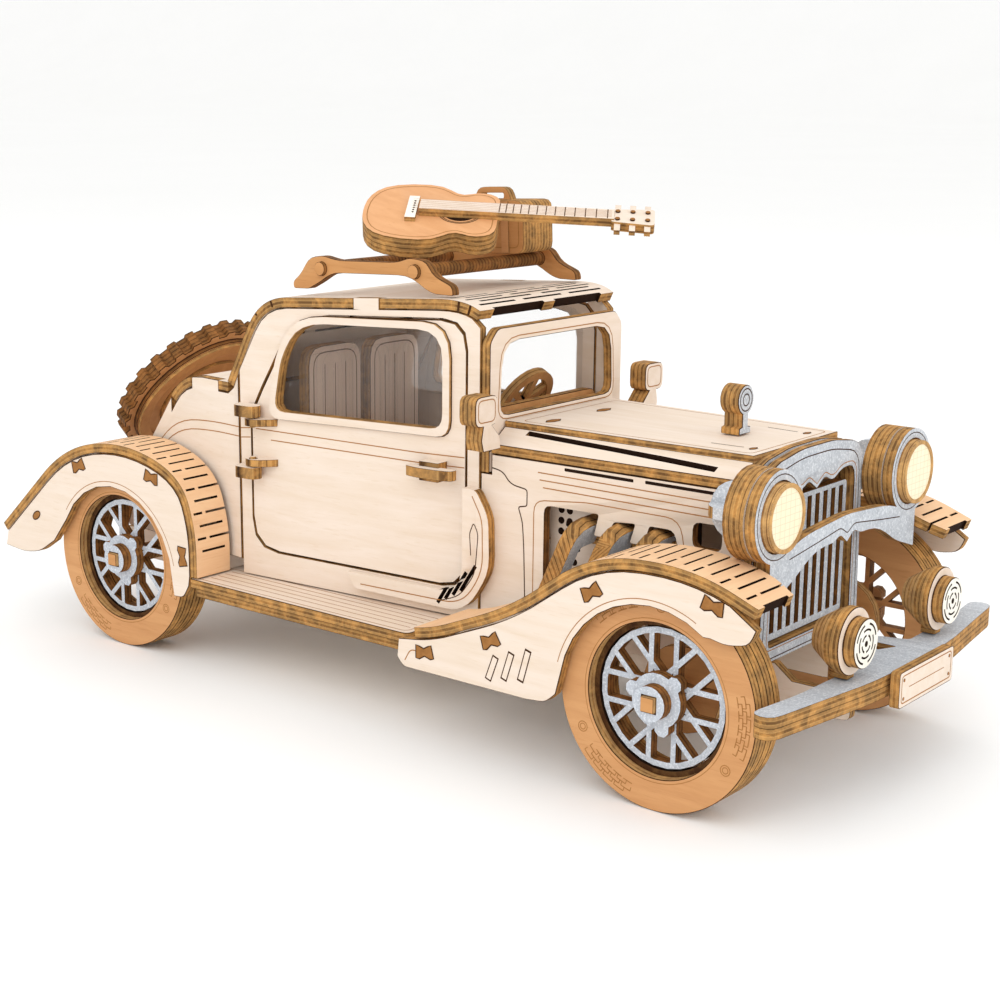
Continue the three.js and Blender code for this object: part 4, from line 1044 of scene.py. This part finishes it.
def build_headlamp(side):
    sign = outward(side)
    axis_y, axis_z = sign * HEADLAMP_Y, HEADLAMP_Z

    def rule(middle, normal, squarely):
        radius = math.hypot(middle.y - axis_y, middle.z - axis_z)
        if middle.x > 84.75:
            return "lens" if squarely > 0.9 else "edge_light"
        if middle.x > 80.6:
            return "edge" if radius > 7.9 else "cream"
        flat_on = abs(normal.y) > 0.9 or abs(normal.z) > 0.9
        inside = abs(middle.y - axis_y) < 1.05 or abs(middle.z - axis_z) < 1.05
        return "silver" if flat_on and inside else "edge"

    node = f"headlamp_{side}"
    lamp = Piece(f"headlamp_wood_{side}").from_node(node, AHEAD, rule)
    face = facing(88.4, axis_y, axis_z)
    lamp.hoop(circle(0, 0, 5.3, 40), circle(0, 0, 6.05, 40), face, "edge_light", -0.1, 0.18,
              "edge_light")
    lamp.stroke(circle(0, 0, 7.4, 40), facing(87, axis_y, axis_z), 0.18, "char", closed=True)
    lamp.finish("silver", [node])


def build_fog_lamp(side):
    sign = outward(side)
    node = f"fog_lamp_{side}"
    lamp_x, lamp_y, lamp_z = FOG_LAMP_AT
    hub = Vector((lamp_x, sign * lamp_y, lamp_z))
    piece = Piece(f"fog_lamp_wood_{side}")
    profile = [(0.0, 8.8), (4.26, 8.8), (4.4, 8.66), (4.4, 6.74), (4.5, 6.6), (5.86, 6.6),
               (6.0, 6.46), (6.0, 4.94), (5.86, 4.8), (5.4, 4.7), (5.4, 3.6), (3.0, 0.0),
               (0.0, 0.0)]
    looks = ["white", "char", "edge", "char", "cream", "char", "edge", "char", "edge_dark",
             "edge", "edge_light", "edge"]
    mesh, layer = piece.mesh, piece.map_layer()
    verts = [mesh.verts.new(point(hub.x + x, hub.y, hub.z + r)) for r, x in profile]
    edges = [mesh.edges.new(pair) for pair in zip(verts, verts[1:])]
    centre = point(*hub)
    bmesh.ops.spin(mesh, geom=verts + edges, cent=centre, axis=(1, 0, 0), steps=48,
                   angle=2 * math.pi, use_merge=True)
    bmesh.ops.remove_doubles(mesh, verts=mesh.verts, dist=0.002 * MM)
    bmesh.ops.recalc_face_normals(mesh, faces=mesh.faces)
    middles = [Vector(((a[0] + b[0]) / 2, (a[1] + b[1]) / 2)) for a, b in zip(profile, profile[1:])]
    for face in mesh.faces:
        reach = [math.hypot(v.co.y - centre.y, v.co.z - centre.z) / MM for v in face.verts]
        depth = [(v.co.x - centre.x) / MM for v in face.verts]
        here = Vector(((max(reach) + min(reach)) / 2, (max(depth) + min(depth)) / 2))
        best = min(range(len(middles)), key=lambda i: (middles[i] - here).length)
        face.material_index = piece.look(looks[best])
        for loop in face.loops:
            loop[layer].uv = (0.0, (loop.vert.co.x - centre.x) / MM - 0.8)
    plane = facing(hub.x + 8.8, hub.y, hub.z)
    # The arced slots and the centre hole on the lamp's face are drawn near-black: laser char plus
    # painted shade inside them.
    for number, radius in enumerate((3.5, 2.5, 1.5)):
        for arc in range(4):
            piece.stroke(circle(0, 0, radius, 10, 90 * arc + 14 + 40 * number, 62), plane, 0.36,
                         "groove")
    piece.slab(circle(0, 0, 0.55, 12), plane, "groove", 0, 0.03)
    stem = [(3.4, -1.2), (6.2, -1.2), (6.2, 1.2), (3.4, 1.2)]
    upright = Plane(hub, (1, 0, 0), (0, 1, 0), (0, 0, 1))
    piece.slab([Vector(p) for p in stem], upright, "edge", -6.7, -4.0, "edge")
    foot = piece.mesh.faces.new([piece.mesh.verts.new(upright.at(u, v, -6.7)) for u, v in stem])
    foot.material_index = piece.look("edge")
    piece.finish("cream", [node])


def build_fenders():
    crests = {
        "front": [(15.6, 20.6), (24, 21.8, 5), (43, 29.6, 8), (61, 42.6, 9), (80, 43.4, 9),
                  (95, 37.6)],
        "rear": [(-109, 20.5), (-86, 41.2, 10), (-68, 44.8, 12), (-50.6, 40.6, 10),
                 (-46.9, 30.5, 6), (-46.9, 20.6)],
    }
    ties = {
        "front": [(22, 19.6, 8), (37.7, 25.0, 24), (59.8, 38.3, 30), (84.3, 40.4, -12)],
        "rear": [(-82.4, 40.2, 20), (-58.2, 41.0, -10), (-48.9, 25, -85)],
    }
    fractions = [0.0, 0.05, 0.14, 0.58, 0.68, 0.82, 0.93, 1.0]
    for side in SIDES:
        sign = outward(side)
        for end in ("front", "rear"):
            plane = side_plane(FENDER_FACE_Y[end], 0, side)
            node = f"{end}_fender_plate_{side}"
            plate = Piece(f"{end}_plate_wood_{side}").from_node(
                node, SIDEWAYS, plain("cream", "edge"))
            for u, v, turn in ties[end]:
                plate.tenon(bow_tie(u, v - 0.4, turn, 0.85), plane)
            if end == "front":
                for u, v in ((38.2, 19.4), (41.8, 20.5), (45.6, 21.4)):
                    lean = Vector((0.9, 2.4 + (u - 38) * 0.1))
                    core = [Vector((u, v)) - lean, Vector((u, v)) + lean]
                    plate.stroke(core, plane, 1.5, "char", 0.02)
                    plate.stroke([core[0] * 0.94 + core[1] * 0.06, core[0] * 0.06 + core[1] * 0.94],
                                 plane, 1.05, "cream", 0.04)
                plate.stroke(rounded([(17.2, 16.6), (18.6, 19, 1), (22, 18.9)], False), plane)
                plate.stroke(circle(72, 19, 19.6, 40, 62, 104), plane, 0.16)
            else:
                plate.tenon([Vector((-98, 26)) + Matrix.Rotation(0.6, 2) @ Vector((p.x * 1.9, p.y))
                             for p in circle(0, 0, 0.8, 14)], plane)
                plate.stroke(circle(-71, 18, 19.6, 40, 12, 134), plane, 0.16)
            plate.finish("cream", [node])
            node = f"{end}_fender_strip_{side}"
            crest = beside(rounded(crests[end], False, 14), 2.3)
            if end == "front":
                crest = [p for p in crest if p.x > 17.0]
                inner = [(17, 24.8), (24, 25.0), (30, 27.2), (89, 28.0), (93, 29.6), (96, 32.4)]
                outer = [(17, 41.0), (92.6, 41.0), (95, 40.2), (96.2, 38.6)]
                first, last = 33.0, 2.0
            else:
                crest = [p for p in crest if p.x < -44.5]
                inner = [(-110, 24.6), (-86, 23.05), (-64, 25.35), (-46.5, 27.4), (-40, 27.7)]
                outer = [(-110, 36.9), (-40, 37.0)]
                first, last = 2.0, 3.0
            length = sum((b - a).length for a, b in zip(crest, crest[1:]))
            count = int((length - first - last) / 2.7)
            marks = [first + 2.7 * i for i in range(count + 1)]
            rows, slots = stations(crest, marks, 0.5, by_length=True)

            def columns(x, inner=inner, outer=outer):
                near, far = between(inner, x), between(outer, x)
                return [sign * (near + (far - near) * share) for share in fractions]

            cuts = ({0, 1, 2, 4, 5}, {2, 3, 4})

            def cut(i, j, slots=slots):
                return i in slots and j in cuts[slots[i] % 2]

            strip = Piece(f"{end}_strip_wood_{side}")
            kerfed(strip, rows, columns, "peach", "cream_across", "edge", cut)
            strip.finish("peach", [node], settle=True)


def build_luggage():
    tilt = -math.atan(0.044)
    Piece("roof_rack_wood").from_node(
        "roof_rack", SIDEWAYS, plain("tan", "edge_dark")).finish("tan", ["roof_rack"])
    case = Piece("suitcase_wood").from_node("suitcase", SIDEWAYS, plain("tan", "edge"))
    turn = Matrix.Rotation(tilt, 3, "Y")
    flank = Plane(Vector((0, 0, 83.05)) + turn @ Vector((-15.8, 7.6, 5.9)),
                  turn @ Vector((1, 0, 0)), turn @ Vector((0, 0, 1)), (0, -1, 0))
    case.stroke(rounded([(1.2, 1.2, 1.4), (21.8, 1.2, 1.4), (21.8, 9.6, 1.4), (1.2, 9.6, 1.4)]),
                flank, closed=True)
    for u in (4.6, 18.4):
        case.slab([Vector(p) for p in ((u - 0.9, 0.2), (u + 0.9, 0.2), (u + 0.9, 10.6),
                                       (u - 0.9, 10.6))], flank, "brown", 0, 0.3, "edge")
    case.finish("tan", ["suitcase"])
    build_guitar()
    build_spare()


def build_guitar():
    turn = (Matrix.Rotation(math.radians(34.2), 3, "Z") @ Matrix.Rotation(math.radians(2.2), 3, "Y")
            @ Matrix.Rotation(math.radians(23.5), 3, "X"))
    origin = Vector((-8.5, -9.2, 98))
    out = turn @ Vector((0, 0, 1))
    plane = Plane(origin, turn @ Vector((1, 0, 0)), turn @ Vector((0, 1, 0)), out)

    def rule(middle, normal, squarely):
        place = turn.transposed() @ (middle - origin)
        if squarely > 0.9:
            if place.z > 0.3:
                return "cream" if place.x > 1.6 else "white"
            return "amber_top"
        return "cream" if squarely < -0.9 else "edge"

    guitar = Piece("guitar_wood").from_node("guitar", out, rule)
    # The sound hole is a flat near-black disc: painted shade, with laser char.
    guitar.slab([Vector(p) for p in circle(9.6, 0, 3.3, 28)], plane, "groove", 0, 0.04)
    for radius in (3.9, 4.3):
        guitar.stroke(circle(9.6, 0, radius, 30), plane, 0.18, "char", 0.05, closed=True)
    half = [(-9.0, 4.6, 4), (-5.8, 10.0, 5), (4.2, 11.4, 6), (8.8, 6.6, 4), (12.8, 8.9, 4),
            (16.4, 7.2, 3)]
    other = [(u, -v, c) for u, v, c in reversed(half)]
    guitar.stroke(rounded(half + other), plane, 0.2, "engrave", closed=True)
    for fret in range(13):
        u = 39.2 - 2.3 * fret * (1 - 0.018 * fret)
        guitar.stroke([(u, -1.9), (u, 1.9)], plane, 0.2, "char", 1.72)
    # Each string ends in a flat near-black dot at the bridge: painted shade, with laser char.
    for string in (-1.25, -0.75, -0.25, 0.25, 0.75, 1.25):
        guitar.stroke([(0, string * 1.6), (40, string)], plane, 0.07, "engrave", 1.78)
        guitar.slab(circle(0.3, string * 1.9, 0.22, 8), plane, "groove", 1.0, 1.06)
    for u in (41.2, 44.2, 47.2):
        for v in (-1.6, 1.6):
            guitar.slab(circle(u, v, 0.5, 10), plane, "end_grain", 1.4, 1.75)
    guitar.finish("peach", ["guitar"])


def build_spare():
    tilt = math.radians(49.5)
    out = Vector((-math.sin(tilt), 0, math.cos(tilt)))
    along = Vector((math.cos(tilt), 0, math.sin(tilt)))
    origin = Vector((-83, 0, 51.8))
    face = Plane(origin + out * 4.6, along, (0, 1, 0), out)
    spare = Piece("spare_wheel_wood").from_node("spare_wheel", out, plain("brown", "edge_dark"))
    wide = Plane(origin + out * 5.0, along, (0, 1, 0), out)
    for radius in (15.8, 11.2, 10.4, 4.2):
        spare.stroke(circle(0, 0, radius, 48), wide, 0.2, closed=True)
    for i in range(12):
        a = math.radians(30 * i)
        ends = [Vector((math.cos(a), math.sin(a))) * r for r in (4.8, 9.8)]
        spare.stroke(ends, wide, 0.3, "char")
    rim = Plane(origin + out * 4.0, along, (0, 1, 0), out)
    spare.stroke(circle(0, 0, 18.2, 60), rim, 0.16, closed=True)
    under = Plane(origin - out * 1.0, along, (0, 1, 0), -out)
    for inner, outer, rise in ((14.6, 17.2, 0.8), (8.6, 11.4, 0.8)):
        spare.hoop(circle(0, 0, inner, 56), circle(0, 0, outer, 56), under, "tan", 0, rise)
    spare.finish("brown", ["spare_wheel"])


# ------------------------------------------------------------------- stage

def build_stage():
    looks = bpy.context.scene.stage_looks
    shade = Shader("pale_floor")
    patch = shade.noise(shade.place((1, 1, 1)), 3, 2)
    shade.connect("Base Color", shade.mix(patch, tone(254, 254, 253), tone(251, 251, 250)))
    shade.connect("Roughness", 0.9)
    mesh = bmesh.new()
    edge = mesh.edges.new([mesh.verts.new((x, -6, 0)) for x in (-16, 16)])
    run = [edge]
    bends = [(6.0, 0.0)] + [(6.0 + 2 * math.sin(a), 2 - 2 * math.cos(a))
                            for a in (math.radians(9 * i) for i in range(1, 11))] + [(8.0, 9.0)]
    for y, z in bends:
        grown = bmesh.ops.extrude_edge_only(mesh, edges=run)["geom"]
        run = [item for item in grown if isinstance(item, bmesh.types.BMEdge)
               and len(item.link_faces) == 1 and all(v in grown for v in item.verts)]
        for vert in {v for item in run for v in item.verts}:
            vert.co.y, vert.co.z = y, z
    for face in mesh.faces:
        face.smooth = True
    data = bpy.data.meshes.new("stage_floor")
    mesh.to_mesh(data)
    mesh.free()
    data.materials.append(shade.material)
    floor = bpy.data.objects.new("stage_floor", data)
    bpy.context.scene.collection.objects.link(floor)

    world = bpy.data.worlds.new("pale_surround")
    world.use_nodes = True
    surround = world.node_tree.nodes["Background"]
    surround.inputs["Color"].default_value = (1, 1, 1, 1)
    surround.inputs["Strength"].default_value = looks.sky
    bpy.context.scene.world = world

    for name, place, size, power in (
            ("key", (0.25, -0.75, 0.75), 0.7, looks.key_power),
            ("fill", (0.85, 0.05, 0.45), 0.6, looks.fill_power),
            ("rear", (-0.5, 0.5, 0.8), 0.6, looks.fill_power * 0.6)):
        light = bpy.data.lights.new(name, "AREA")
        light.size = size
        light.energy = power
        lamp = bpy.data.objects.new(name, light)
        lamp.location = place
        aim = Vector((0, 0, 0.04)) - Vector(place)
        lamp.rotation_euler = aim.to_track_quat("-Z", "Y").to_euler()
        bpy.context.scene.collection.objects.link(lamp)

    bpy.context.scene.view_settings.view_transform = "Standard"
    yaw, pitch, roll = (math.radians(a) for a in (128.15, -12.94, 0.64))
    ahead = Vector((math.cos(pitch) * math.cos(yaw), math.cos(pitch) * math.sin(yaw),
                    math.sin(pitch)))
    level = ahead.cross(Vector((0, 0, 1))).normalized()
    up = level.cross(ahead)
    right = level * math.cos(roll) + up * math.sin(roll)
    up = up * math.cos(roll) - level * math.sin(roll)
    view = Matrix((right, up, -ahead)).transposed().to_4x4()
    view.translation = point(231.8, -285.6, 122.5)
    lens = bpy.data.cameras.new("camera")
    lens.lens = looks.focal
    lens.sensor_width = 36
    lens.clip_start = 0.01
    camera = bpy.data.objects.new("camera", lens)
    camera.matrix_world = view
    bpy.context.scene.collection.objects.link(camera)
    bpy.context.scene.camera = camera


# --------------------------------------------------------------- operators

class BuildStep(bpy.types.Operator):
    """Runs one step of the build and raises an error if it can't finish"""
    bl_idname = "coupe.step"
    bl_label = "Build step"
    bl_options = {"REGISTER", "UNDO"}

    def work(self):
        raise RuntimeError("a build step needs its own work")

    def execute(self, context):
        if not LOOKS:
            make_looks()
        self.work()
        return {"FINISHED"}


def step(idname, label, text, work):
    """An operator class for one group of like pieces."""
    return type("COUPE_OT_" + idname, (BuildStep,), {
        "__doc__": text, "bl_idname": "coupe." + idname, "bl_label": label,
        "work": lambda self: work()})


STEPS = [
    step("chassis", "Chassis", "Rails, floor and running boards", build_chassis),
    step("wheels", "Wheels and axles", "Four tyres, four wheel centres, two axles", build_wheels),
    step("cabin", "Cabin", "Sides, tail, roof, windshield frame, seats, steering", build_cabin),
    step("doors", "Doors", "Doors with window frames, handles and panes", build_doors),
    step("hood", "Hood", "Hood, its sides, the engine panels and the exhausts", build_hood),
    step("nose", "Nose", "Radiator, lamps, mirrors, bumper, plate and ornament", build_nose),
    step("fenders", "Fenders", "Fender plates and slotted bent strips", build_fenders),
    step("luggage", "Rack and luggage", "Rack, suitcase, guitar and spare wheel", build_luggage),
    step("stage", "Stage", "Floor, lights, surround and camera", build_stage),
]


class COUPE_PT_sidebar(bpy.types.Panel):
    """Lists every build step and the settings"""
    bl_label = "Plywood coupe"
    bl_idname = "COUPE_PT_sidebar"
    bl_space_type = "VIEW_3D"
    bl_region_type = "UI"
    bl_category = "Plywood coupe"

    def draw(self, context):
        for settings in (context.scene.wood_looks, context.scene.stage_looks):
            for name in settings.bl_rna.properties.keys():
                if name not in ("rna_type", "name"):
                    self.layout.prop(settings, name)
        for operator in STEPS:
            self.layout.operator(operator.bl_idname)


CLASSES = [WoodSettings, StageSettings, *STEPS, COUPE_PT_sidebar]


def register():
    for item in CLASSES:
        bpy.utils.register_class(item)
    bpy.types.Scene.wood_looks = bpy.props.PointerProperty(type=WoodSettings)
    bpy.types.Scene.stage_looks = bpy.props.PointerProperty(type=StageSettings)


def unregister():
    del bpy.types.Scene.stage_looks
    del bpy.types.Scene.wood_looks
    for item in reversed(CLASSES):
        bpy.utils.unregister_class(item)


def main():
    register()
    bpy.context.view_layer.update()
    for operator in STEPS:
        group, name = operator.bl_idname.split(".")
        getattr(getattr(bpy.ops, group), name)()


if __name__ == "__main__":
    main()
